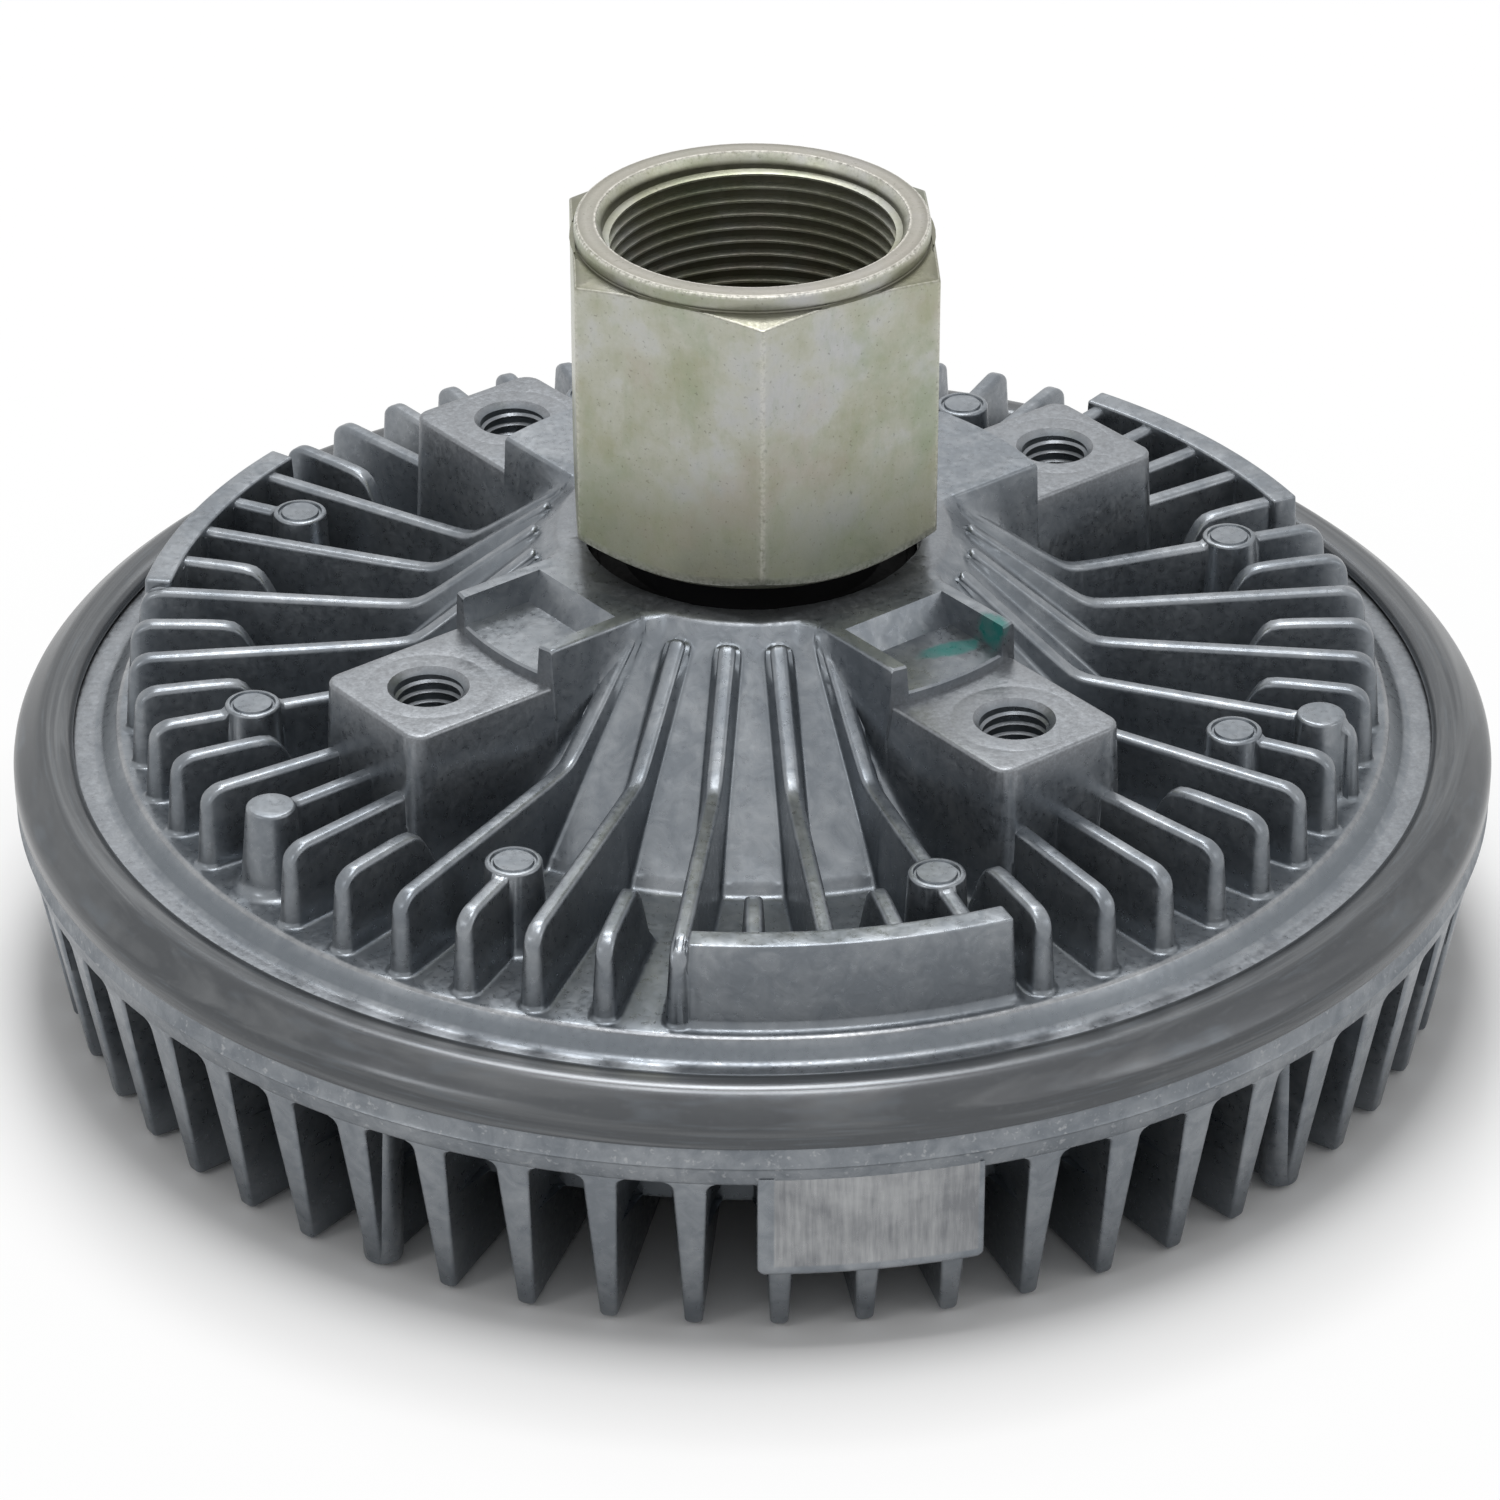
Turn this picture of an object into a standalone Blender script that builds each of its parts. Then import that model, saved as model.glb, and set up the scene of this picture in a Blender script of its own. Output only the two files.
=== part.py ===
# Viscous fan clutch for an engine-driven cooling fan, lying on its front fins with the drive nut up.
# Metres, +Z up. The origin is on the clutch's axis, in the plane of the fin tips.

import bmesh
import bpy
from math import atan2, cos, degrees, pi, radians, sin, sqrt, tan
from mathutils import Matrix, Vector

MM = 0.001
CLEARANCE = 0.3 * MM            # gap kept between two pieces that touch
EMBED = 1.2 * MM                # depth by which ribs, fins and bosses are rooted in their casting

# Drive nut and input shaft, one steel piece
NUT_FLATS = 48.0 * MM
NUT_TOP = 110.8 * MM
NUT_BASE = 67.3 * MM
NUT_CORNER_ANGLE = -80.9
COLLAR_RADIUS = 23.7 * MM       # turned ring above the hexagon
COLLAR_HEIGHT = 2.2 * MM
SHOULDER_FALL = 0.225           # fall of the hexagon's top shoulder for each unit of radius
BASE_BEVEL_RISE = 0.676         # rise of the bevel under the hexagon for each unit of radius
BASE_BEVEL_INSET = 1.0 * MM     # flat bottom face inside the flats
THREAD_RADIUS = 19.2 * MM       # crest of the internal thread
SOCKET_MOUTH_RADIUS = 20.3 * MM
SOCKET_FLOOR_WALL = 13.5 * MM   # steel between the socket and the nut's bottom face
THREAD_RELIEF = 3.5 * MM
NECK_RADIUS = 15.6 * MM
SHAFT_STEPS = 24

# Deep-groove ball bearing
BEARING_BORE = 25.0 * MM
BEARING_DIAMETER = 52.0 * MM
BEARING_WIDTH = 15.0 * MM
BALL_COUNT = 9
BALL_DIAMETER = 7.9 * MM
RACE_SHOULDER = 3.35 * MM       # from the ball circle to the shoulder of either ring
RACE_GAP = 0.4 * MM             # ball to groove
RACE_MIDDLE_SHARE = 0.55        # where the groove's inner points lie
SEAL_THICKNESS = 1.0 * MM
SEAL_RECESS = 0.8 * MM
CAGE_WIDTH = 2.3 * MM
CAGE_THICKNESS = 1.0 * MM
CAGE_FINGER = 3.4 * MM
CAGE_FINGER_LENGTH = 5.5 * MM
CAGE_FINGER_INSET = 0.2 * MM
RETAINER_THICKNESS = 1.5 * MM
RETAINER_WIDTH = 3.0 * MM
RETAINER_BITE = 1.0 * MM        # how far the retaining ring reaches into its groove
RETAINER_OPENING = 40.0         # degrees left open between the ends
RETAINER_STEPS = 12

# Rear housing: hub, cone and rib floor
HUB_TOP = 64.4 * MM
HUB_EDGE_RADIUS = 27.0 * MM
HUB_LIP_RADIUS = 23.1 * MM
HUB_LIP_THICKNESS = 2.6 * MM
HUB_WALL = 4.7 * MM
BORE_BELOW_GROOVE = 2.6 * MM
CONE_FOOT_RADIUS = 54.7 * MM
RIB_FLOOR = 38.4 * MM
FLOOR_EDGE_INSET = 14.7 * MM    # from the band in to the edge of the ribs' floor
FLANGE_TOP = 35.75 * MM
FLANGE_SLOPE_INSET = 11.7 * MM
FLANGE_INSET = 5.8 * MM         # from the band in to the flange's edge
FLANGE_EDGE = 4.2 * MM
FLANGE_THICKNESS = 5.55 * MM
FLANGE_SIDE_GAP = 1.0 * MM      # flange to the cover round it
CONE_WALL = 5.5 * MM
CEILING_WALL = 5.4 * MM

# Cooling ribs of the rear housing
RIB_COUNT = 56
RIB_PHASE = -90.0
RIB_SECTORS = 4
RIB_TOP = 49.8 * MM
RIB_END_INSET = 1.8 * MM        # from the floor's edge in to the ribs
RIB_END_SLOPE = 1.6 * MM
RIB_CORNER = 3.2 * MM
RIB_ROOT_WIDTH = 3.0 * MM
RIB_TIP_WIDTH = 2.3 * MM
RIB_KNEE_RADIUS = 46.5 * MM
RIB_HUB_RADIUS = 30.5 * MM
RIB_HUB_TOP = 61.4 * MM
SHORT_RIB_LENGTH = 18.5 * MM

# Posts and arc walls between the ribs
EJECTOR_INSET = 14.5 * MM       # from the ribs' outer ends in to the post's middle
EJECTOR_RADIUS = 4.0 * MM
EJECTOR_PLACES = (-3, 4)        # rib numbers counted from the middle of each sector
PLAIN_POST_INSET = 5.1 * MM
PLAIN_POST_RADIUS = 3.6 * MM
PLAIN_POST_PLACES = (-7, 12)    # rib numbers counted from the front
POST_RISE = 0.5 * MM            # posts and walls above the rib tops
POST_STEPS = 10
POST_DRAFT = 0.5 * MM
ARC_WALL_INSET = 0.5 * MM
ARC_WALL_THICKNESS = 3.8 * MM
ARC_WALL_ANGLES = (-75.0, 45.0, 165.0)
ARC_WALL_SPAN = 28.6

# Fan bosses
BOSS_ANGLES = (-135.0, -45.0, 45.0, 135.0)
BOSS_HALF_WIDTH = 10.5 * MM
BOSS_OUTER = 64.7 * MM
BOSS_CORNER = 3.0 * MM
BOSS_DRAFT = 0.6 * MM
PAD_HEIGHT = 58.9 * MM
PILOT_RADIUS = 43.5 * MM
BOLT_CIRCLE = 54.7 * MM
BOLT_HOLE_RADIUS = 4.3 * MM
BOLT_CHAMFER_RADIUS = 5.2 * MM
BOLT_HOLE_DEPTH = 15.0 * MM
HOLE_STEPS = 16
POCKET_BOSSES = (-135.0, -45.0)
POCKET_HALF_WIDTH = 8.0 * MM
POCKET_DEPTH = 4.0 * MM
POCKET_INNER = 30.0 * MM
POCKET_RAMP = 2.5 * MM

# Rim: the cover's lip is spun over the housing's flange. Insets are measured inwards from the band.
BAND_RADIUS = 102.0 * MM
BAND_BOTTOM = 31.2 * MM
LIP_REACH = 8.4 * MM
LIP_THICKNESS = 0.65 * MM
LIP_CROWN = 1.65 * MM
LIP_EDGE_SHARE = 0.8            # height of the lip near its edge, as a share of the crown
BEAD_INSET = 0.2 * MM
BEAD_HEIGHT = 28.0 * MM
RIM_INSET = 0.9 * MM
RIM_BOTTOM = 25.0 * MM
O_RING_RADIUS = 1.0 * MM
O_RING_INSET = 9.4 * MM
O_RING_GROOVE_DEPTH = 2.4 * MM

# Front cover: plate, reservoir bulge and fins
COVER_WALL = 5.5 * MM
WALL_TOP_INSET = 10.0 * MM
WALL_FOOT_INSET = 12.5 * MM
BULGE_INSET = 13.5 * MM         # from the screws' circle in to the bulge
BULGE_WALL = 3.5 * MM
RESERVOIR_DEPTH = 5.0 * MM
FIN_COUNT = 55
FIN_PHASE = -75.1
FIN_BULGE_GAP = 1.5 * MM
FIN_TIP_INSET = 5.7 * MM
FIN_ROOT_INSET = 1.1 * MM
FIN_ROOT_WIDTH = 4.5 * MM
FIN_TIP_WIDTH = 2.2 * MM
FIN_CORNER = 1.6 * MM
FIN_POST_PLACES = (-6, 6)       # fin numbers counted from the first one
FIN_POST_RADIUS = 3.2 * MM
FIN_POST_TIP_RADIUS = 2.6 * MM
FIN_POST_TIP = 0.5 * MM         # above the fins' tips
FIN_POST_INSET = 8.0 * MM
FIN_POST_HEIGHT = 20.0 * MM
BALANCE_PAD_FROM = -83.5
BALANCE_PAD_TO = -66.0
BALANCE_PAD_BOTTOM = 11.5 * MM
BALANCE_PAD_PROUD = 0.1 * MM     # beyond the rim's bottom edge
BALANCE_PAD_THICKNESS = 5.0 * MM
BALANCE_PAD_CORNER = 2.0 * MM

# Rotor in the working chamber
CHAMBER_INSET = 14.7 * MM
ROTOR_EDGE_GAP = 1.3 * MM
ROTOR_GAP = 0.6 * MM
ROTOR_THICKNESS = 8.5 * MM
ROTOR_BORE_RADIUS = 11.3 * MM
ROTOR_HUB_RADIUS = 17.0 * MM
ROTOR_WEB_MARGIN = 2.5 * MM     # from the web's edge to the first groove
ROTOR_WEB_DROP = 2.5 * MM
ROTOR_RECESS_RADIUS = 15.0 * MM
ROTOR_RECESS_DEPTH = 2.2 * MM
SHAFT_HEAD_RADIUS = 13.2 * MM
SHAFT_HEAD_THICKNESS = 1.4 * MM
LAND_COUNT = 2
LAND_START_SHARE = 0.275        # shares of the flat ceiling between cone and chamber wall
LAND_PITCH_SHARE = 0.287
LAND_WIDTH_SHARE = 0.1
LAND_SIDE_GAP = 1.0 * MM
LAND_DEPTH = 2.6 * MM
INNER_STEPS = 27                # a multiple of the ball count, so rings and seat stay parallel

# Pump plate with its screws and wipers
PLATE_THICKNESS = 1.4 * MM
PLATE_TO_ROTOR = 2.0 * MM
PLATE_EDGE_GAP = 1.0 * MM
PORT_INSET = 18.5 * MM          # from the bulge in to the port's middle
PORT_RADIUS = 4.0 * MM
SCAVENGE_INSET = 5.3 * MM       # from the chamber's wall
SCAVENGE_RADIUS = 1.6 * MM
SCAVENGE_ANGLES = (20.0, 200.0)
SCREW_INSET = 15.3 * MM
SCREW_ANGLES = (45.0, 135.0, 225.0, 315.0)
SCREW_SHANK_RADIUS = 1.8 * MM
SCREW_HEAD_RADIUS = 3.4 * MM
SCREW_HEAD_HEIGHT = 1.0 * MM
SCREW_LENGTH = 4.6 * MM
SCREW_STEPS = 8
WIPER_LENGTH = 9.0 * MM
WIPER_WIDTH = 3.0 * MM
WIPER_HEIGHT = 1.2 * MM
WIPER_LEAD = 4.0                # degrees from the scavenge hole to its wiper

# Valve and its bimetal coil
VALVE_SHAFT_RADIUS = 3.5 * MM
VALVE_SPIGOT_RADIUS = 2.1 * MM
VALVE_STEPS = 12
VALVE_BOSS_RADIUS = 7.5 * MM
VALVE_BOSS_DRAFT = 0.4 * MM
ARM_THICKNESS = 0.9 * MM
ARM_HUB_RADIUS = 5.5 * MM
ARM_TIP_RADIUS = 5.6 * MM
ARM_WAIST_SHARE = 0.6           # shares of the hub's or the tip's half width
ARM_HUB_CORNER_SHARE = 0.95
ARM_SHOULDER_CORNER_SHARE = 0.5
ARM_TIP_CORNER_SHARE = 0.9
COIL_GAP = 0.8 * MM             # coil to the cover above it
COIL_WIDTH = 7.5 * MM
COIL_STRIP = 1.0 * MM
COIL_TURNS = 4
COIL_PITCH = 4.4 * MM
COIL_INNER_RADIUS = 5.6 * MM
COIL_STEPS = 12                 # points on each turn
COIL_TAIL = 4.6 * MM
COIL_ENTRY_SHARE = 0.8          # how far the inner end crosses the shaft's slot
COIL_MITRE_SHARE = 0.5          # sharpest bend at which the strip keeps its width
SHAFT_PAST_COIL = 0.5 * MM
LUG_LENGTH = 4.5 * MM
LUG_WIDTH = 3.0 * MM
SHAFT_SEAL_SECTION = 0.5 * MM
SHAFT_SEAL_GROOVE = 1.1 * MM
SHAFT_SEAL_SHARE = 0.8          # thickness of the seal's section in its groove

# Heights and radii that follow from the sizes above
CONE_FALL = (HUB_TOP - RIB_FLOOR) / (CONE_FOOT_RADIUS - HUB_EDGE_RADIUS)
CONE_WALL_DROP = CONE_WALL * sqrt(1 + CONE_FALL ** 2)
FLOOR_EDGE_RADIUS = BAND_RADIUS - FLOOR_EDGE_INSET
FLANGE_SLOPE_RADIUS = BAND_RADIUS - FLANGE_SLOPE_INSET
FLANGE_RADIUS = BAND_RADIUS - FLANGE_INSET
LIP_INNER_RADIUS = BAND_RADIUS - LIP_REACH
BEAD_RADIUS = BAND_RADIUS - BEAD_INSET
RIM_RADIUS = BAND_RADIUS - RIM_INSET
O_RING_CIRCLE = BAND_RADIUS - O_RING_INSET
WALL_TOP_RADIUS = BAND_RADIUS - WALL_TOP_INSET
WALL_FOOT_RADIUS = BAND_RADIUS - WALL_FOOT_INSET
FIN_TIP_RADIUS = BAND_RADIUS - FIN_TIP_INSET
FIN_ROOT_RADIUS = BAND_RADIUS - FIN_ROOT_INSET
FIN_POST_CIRCLE = BAND_RADIUS - FIN_POST_INSET
BALANCE_PAD_RADIUS = RIM_RADIUS + BALANCE_PAD_PROUD
RIB_OUTER_RADIUS = FLOOR_EDGE_RADIUS - RIB_END_INSET
SHORT_RIB_RADIUS = RIB_OUTER_RADIUS - SHORT_RIB_LENGTH
EJECTOR_CIRCLE = RIB_OUTER_RADIUS - EJECTOR_INSET
PLAIN_POST_CIRCLE = RIB_OUTER_RADIUS - PLAIN_POST_INSET
ARC_WALL_RADIUS = RIB_OUTER_RADIUS - ARC_WALL_INSET
CHAMBER_RADIUS = BAND_RADIUS - CHAMBER_INSET
SCAVENGE_CIRCLE = CHAMBER_RADIUS - SCAVENGE_INSET
SCREW_CIRCLE = CHAMBER_RADIUS - SCREW_INSET
BULGE_RADIUS = SCREW_CIRCLE - BULGE_INSET
FIN_INNER_RADIUS = BULGE_RADIUS + FIN_BULGE_GAP
PORT_CIRCLE = BULGE_RADIUS - PORT_INSET
SEAT_RADIUS = BEARING_DIAMETER / 2 + CLEARANCE
SEAT_TOP = HUB_TOP - HUB_LIP_THICKNESS
BEARING_TOP = SEAT_TOP - CLEARANCE
BEARING_BOTTOM = BEARING_TOP - BEARING_WIDTH
BEARING_MIDDLE = (BEARING_TOP + BEARING_BOTTOM) / 2
BALL_CIRCLE = (BEARING_BORE + BEARING_DIAMETER) / 4
RETAINER_TOP = BEARING_BOTTOM - CLEARANCE
RETAINER_BOTTOM = RETAINER_TOP - RETAINER_THICKNESS
RETAINER_RADIUS = SEAT_RADIUS + RETAINER_BITE
BORE_BOTTOM = RETAINER_BOTTOM - CLEARANCE - BORE_BELOW_GROOVE
FLANGE_BOTTOM = FLANGE_TOP - FLANGE_THICKNESS
CEILING = RIB_FLOOR - CEILING_WALL
CEILING_START = HUB_EDGE_RADIUS + (HUB_TOP - CONE_WALL_DROP - CEILING) / CONE_FALL
LAND_ROOM = CHAMBER_RADIUS - CEILING_START
LAND_FIRST_RADIUS = CEILING_START + LAND_ROOM * LAND_START_SHARE
LAND_PITCH = LAND_ROOM * LAND_PITCH_SHARE
LAND_WIDTH = LAND_ROOM * LAND_WIDTH_SHARE
ROTOR_WEB_RADIUS = LAND_FIRST_RADIUS - LAND_SIDE_GAP - ROTOR_WEB_DROP - ROTOR_WEB_MARGIN
ROTOR_TOP = CEILING - ROTOR_GAP
ROTOR_BOTTOM = ROTOR_TOP - ROTOR_THICKNESS
ROTOR_RADIUS = CHAMBER_RADIUS - ROTOR_EDGE_GAP
PLATE_TOP = ROTOR_BOTTOM - PLATE_TO_ROTOR
PLATE_BOTTOM = PLATE_TOP - PLATE_THICKNESS
LEDGE = PLATE_BOTTOM - CLEARANCE
COVER_UNDERSIDE = LEDGE - COVER_WALL
RESERVOIR_FLOOR = LEDGE - RESERVOIR_DEPTH
BULGE_UNDERSIDE = RESERVOIR_FLOOR - BULGE_WALL
ARM_TOP = PLATE_BOTTOM - CLEARANCE
ARM_BOTTOM = ARM_TOP - ARM_THICKNESS
VALVE_BOSS_TOP = ARM_BOTTOM - CLEARANCE
COIL_TOP = BULGE_UNDERSIDE - COIL_GAP
COIL_BOTTOM = COIL_TOP - COIL_WIDTH
COIL_OUTER_RADIUS = COIL_INNER_RADIUS + COIL_TURNS * COIL_PITCH
SCREW_TOP = PLATE_TOP + CLEARANCE + SCREW_HEAD_HEIGHT
RIB_PITCH = 360.0 / RIB_COUNT
FIN_PITCH = 360.0 / FIN_COUNT
SECTOR_RIBS = RIB_COUNT // RIB_SECTORS


def clear_scene():
    for obj in list(bpy.data.objects):
        bpy.data.objects.remove(obj)


def make_material(name, colour, roughness, metallic):
    mat = bpy.data.materials.new(name)
    mat.use_nodes = True
    shader = mat.node_tree.nodes["Principled BSDF"]
    shader.inputs["Base Color"].default_value = (*colour, 1.0)
    shader.inputs["Roughness"].default_value = roughness
    shader.inputs["Metallic"].default_value = metallic
    mat.diffuse_color = (*colour, 1.0)
    return mat


def cone_height(radius):
    """Height of the housing's conical hub surface at a radius."""
    return HUB_TOP - (radius - HUB_EDGE_RADIUS) * CONE_FALL


def on_circle(radius, angle):
    """The x, y of a point at a radius and an angle in degrees."""
    return radius * cos(radians(angle)), radius * sin(radians(angle))


def rounded(corners, steps):
    """Outline through (x, y, radius) corners, each turned into an arc of that radius."""
    points = []
    for i, (x, y, radius) in enumerate(corners):
        here = Vector((x, y))
        if radius == 0:
            points.append(here)
            continue
        before = (Vector(corners[i - 1][:2]) - here).normalized()
        after = (Vector(corners[(i + 1) % len(corners)][:2]) - here).normalized()
        half = before.angle(after) / 2
        centre = here + (before + after).normalized() * (radius / sin(half))
        first = here + before * (radius / tan(half)) - centre
        last = here + after * (radius / tan(half)) - centre
        start = atan2(first.y, first.x)
        sweep = (atan2(last.y, last.x) - start + pi) % (2 * pi) - pi
        for k in range(steps + 1):
            angle = start + sweep * k / steps
            points.append(centre + Vector((cos(angle), sin(angle))) * radius)
    return points


def circle(radius, steps, centre=(0.0, 0.0)):
    """Points of a circle, in order."""
    return [(centre[0] + radius * cos(2 * pi * k / steps), centre[1] + radius * sin(2 * pi * k / steps))
            for k in range(steps)]


def add_object(name, bm):
    """Links the bmesh as a new object, with its faces pointing out."""
    bmesh.ops.recalc_face_normals(bm, faces=bm.faces)
    mesh = bpy.data.meshes.new(name)
    bm.to_mesh(mesh)
    bm.free()
    obj = bpy.data.objects.new(name, mesh)
    bpy.context.scene.collection.objects.link(obj)
    return obj


def turned(name, profile, steps, phase=0.0):
    """A (radius, height) profile spun about +Z. A profile that starts on the axis also ends there."""
    bm = bmesh.new()
    verts = [bm.verts.new((r * cos(radians(phase)), r * sin(radians(phase)), z)) for r, z in profile]
    edges = [bm.edges.new(pair) for pair in zip(verts, verts[1:])]
    if profile[0][0] > 0:
        edges.append(bm.edges.new((verts[-1], verts[0])))
    bmesh.ops.spin(bm, geom=verts + edges, cent=(0, 0, 0), axis=(0, 0, 1), angle=2 * pi, steps=steps)
    bmesh.ops.remove_doubles(bm, verts=bm.verts, dist=0.001 * MM)
    return add_object(name, bm)


def loft(bm, rings):
    """Closes a stack of matching point rings into one solid."""
    layers = [[bm.verts.new(p) for p in ring] for ring in rings]
    count = len(layers[0])
    for low, high in zip(layers, layers[1:]):
        for k in range(count):
            nxt = (k + 1) % count
            bm.faces.new((low[k], low[nxt], high[nxt], high[k]))
    bm.faces.new(layers[0])
    bm.faces.new(layers[-1])


def upright(bm, outline, bottom, top, draft=0.0, angle=0.0):
    """An outline extruded upwards. Draft moves the bottom outline outwards from its middle."""
    turn = Matrix.Rotation(radians(angle), 2)
    middle = sum((Vector(p) for p in outline), Vector((0.0, 0.0))) / len(outline)
    low = []
    for p in outline:
        away = Vector(p) - middle
        low.append(turn @ (Vector(p) + away.normalized() * draft))
    high = [turn @ Vector(p) for p in outline]
    loft(bm, [[(p.x, p.y, bottom) for p in low], [(p.x, p.y, top) for p in high]])


def upright_object(name, outline, bottom, top, draft=0.0, angle=0.0):
    bm = bmesh.new()
    upright(bm, outline, bottom, top, draft, angle)
    return add_object(name, bm)


def radial_blade(bm, outline, angle, root, tip):
    """A rib or fin on a (radius, height) outline; root and tip are the (height, width) it tapers between."""
    along = Vector((cos(radians(angle)), sin(radians(angle))))
    across = Vector((-along.y, along.x))
    sides = []
    for side in (-1, 1):
        ring = []
        for r, z in outline:
            share = (z - root[0]) / (tip[0] - root[0])
            half = (root[1] + (tip[1] - root[1]) * share) / 2
            p = along * r + across * half * side
            ring.append((p.x, p.y, z))
        sides.append(ring)
    loft(bm, sides)


def arc_block(bm, inner, outer, stations):
    """A block bent round the axis, through (angle, bottom, top) stations."""
    rings = []
    for angle, bottom, top in stations:
        ring = [(*on_circle(inner, angle), bottom), (*on_circle(outer, angle), bottom)]
        ring += [(*on_circle(outer, angle), top), (*on_circle(inner, angle), top)]
        rings.append(ring)
    loft(bm, rings)


def apply_modifiers(obj):
    bpy.context.view_layer.update()
    graph = bpy.context.evaluated_depsgraph_get()
    mesh = bpy.data.meshes.new_from_object(obj.evaluated_get(graph))
    obj.modifiers.clear()
    obj.data = mesh


def combine(target, tool, operation):
    """Boolean of target with tool, applied, and the tool removed."""
    modifier = target.modifiers.new(operation.title(), "BOOLEAN")
    modifier.operation = operation
    modifier.object = tool
    modifier.solver = "EXACT"
    apply_modifiers(target)
    bpy.data.objects.remove(tool)


def finish(obj, mat, smooth_to=32.0):
    """Gives a piece its material and smooth shading across edges flatter than smooth_to degrees."""
    obj.data.materials.clear()
    obj.data.materials.append(mat)
    obj.data.shade_smooth()
    obj.data.set_sharp_from_angle(angle=radians(smooth_to))
    return obj


def land_profile(depth, margin):
    """Dips of the annular lands, from the inside out, below a surface at height 0."""
    points = []
    for k in range(LAND_COUNT):
        start = LAND_FIRST_RADIUS + k * LAND_PITCH
        points += [(start - margin, 0.0), (start - margin, -depth)]
        points += [(start + LAND_WIDTH + margin, -depth), (start + LAND_WIDTH + margin, 0.0)]
    return points


# Rear housing

def housing_blank():
    """The outside of the housing without ribs: hub, cone, rib floor and flange."""
    profile = [
        (0.0, HUB_TOP),
        (HUB_EDGE_RADIUS, HUB_TOP),
        (CONE_FOOT_RADIUS, RIB_FLOOR),
        (FLOOR_EDGE_RADIUS, RIB_FLOOR),
        (FLANGE_SLOPE_RADIUS, FLANGE_TOP),
        (LIP_INNER_RADIUS, FLANGE_TOP),
        (FLANGE_RADIUS, FLANGE_BOTTOM + FLANGE_EDGE),
        (FLANGE_RADIUS, FLANGE_BOTTOM),
        (0.0, FLANGE_BOTTOM),
    ]
    return turned("rear_housing", profile, RIB_COUNT, RIB_PHASE + RIB_PITCH / 2)


def housing_cavity():
    """Everything that is open inside the housing, from the hub's mouth to the working chamber."""
    boss_radius = SEAT_RADIUS + HUB_WALL
    profile = [
        (0.0, HUB_TOP + EMBED),
        (HUB_LIP_RADIUS, HUB_TOP + EMBED),
        (HUB_LIP_RADIUS, SEAT_TOP),
        (SEAT_RADIUS, SEAT_TOP),
        (SEAT_RADIUS, BEARING_BOTTOM),
        (RETAINER_RADIUS + CLEARANCE, BEARING_BOTTOM),
        (RETAINER_RADIUS + CLEARANCE, RETAINER_BOTTOM - CLEARANCE),
        (SEAT_RADIUS, RETAINER_BOTTOM - CLEARANCE),
        (SEAT_RADIUS, BORE_BOTTOM),
        (boss_radius, BORE_BOTTOM),
        (boss_radius, cone_height(boss_radius) - CONE_WALL_DROP),
        (CEILING_START, CEILING),
    ]
    profile += [(r, CEILING + z) for r, z in land_profile(LAND_DEPTH, 0.0)]
    profile += [
        (CHAMBER_RADIUS, CEILING),
        (CHAMBER_RADIUS, FLANGE_BOTTOM - EMBED),
        (0.0, FLANGE_BOTTOM - EMBED),
    ]
    return turned("housing_cavity", profile, INNER_STEPS)


def long_rib_outline():
    """A rib that runs from the rim, over the floor and up the cone to the hub."""
    root = RIB_FLOOR - EMBED
    return rounded([
        (RIB_OUTER_RADIUS, root, 0.0),
        (RIB_OUTER_RADIUS - RIB_END_SLOPE, RIB_TOP, RIB_CORNER),
        (RIB_KNEE_RADIUS, RIB_TOP, 2 * RIB_CORNER),
        (RIB_HUB_RADIUS, RIB_HUB_TOP, 0.0),
        (RIB_HUB_RADIUS, cone_height(RIB_HUB_RADIUS) - 2 * EMBED, 0.0),
        (CONE_FOOT_RADIUS, root, 0.0),
    ], 1)


def short_rib_outline(inner, inner_corner):
    """A rib on the floor only, with its inner end at a radius."""
    root = RIB_FLOOR - EMBED
    return rounded([
        (RIB_OUTER_RADIUS, root, 0.0),
        (RIB_OUTER_RADIUS - RIB_END_SLOPE, RIB_TOP, RIB_CORNER),
        (inner + RIB_END_SLOPE / 2, RIB_TOP, inner_corner),
        (inner, root, 0.0),
    ], 1)


def rib_outline(place, number):
    """The outline of one rib, by its place in the sector and its number from the front."""
    if number in PLAIN_POST_PLACES and abs(place) == SECTOR_RIBS // 2:
        root = RIB_FLOOR - EMBED
        start, end = BOSS_OUTER - RIB_CORNER, PLAIN_POST_CIRCLE
        return [(start, root), (end, root), (end, RIB_TOP), (start, RIB_TOP)]
    if place % 2 == 0 and abs(place) <= 4:
        return long_rib_outline()
    if place == EJECTOR_PLACES[0]:
        return short_rib_outline(EJECTOR_CIRCLE, 0.0)
    if abs(place) >= 6:
        return short_rib_outline(BOSS_OUTER - RIB_CORNER, 0.0)
    return short_rib_outline(SHORT_RIB_RADIUS, RIB_CORNER)


def housing_ribs():
    bm = bmesh.new()
    half = SECTOR_RIBS // 2
    root = (RIB_FLOOR, RIB_ROOT_WIDTH)
    tip = (RIB_TOP, RIB_TIP_WIDTH)
    for number in range(-RIB_COUNT // 2, RIB_COUNT // 2):
        place = (number + half) % SECTOR_RIBS - half
        radial_blade(bm, rib_outline(place, number), RIB_PHASE + number * RIB_PITCH, root, tip)
    return add_object("housing_ribs", bm)


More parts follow.
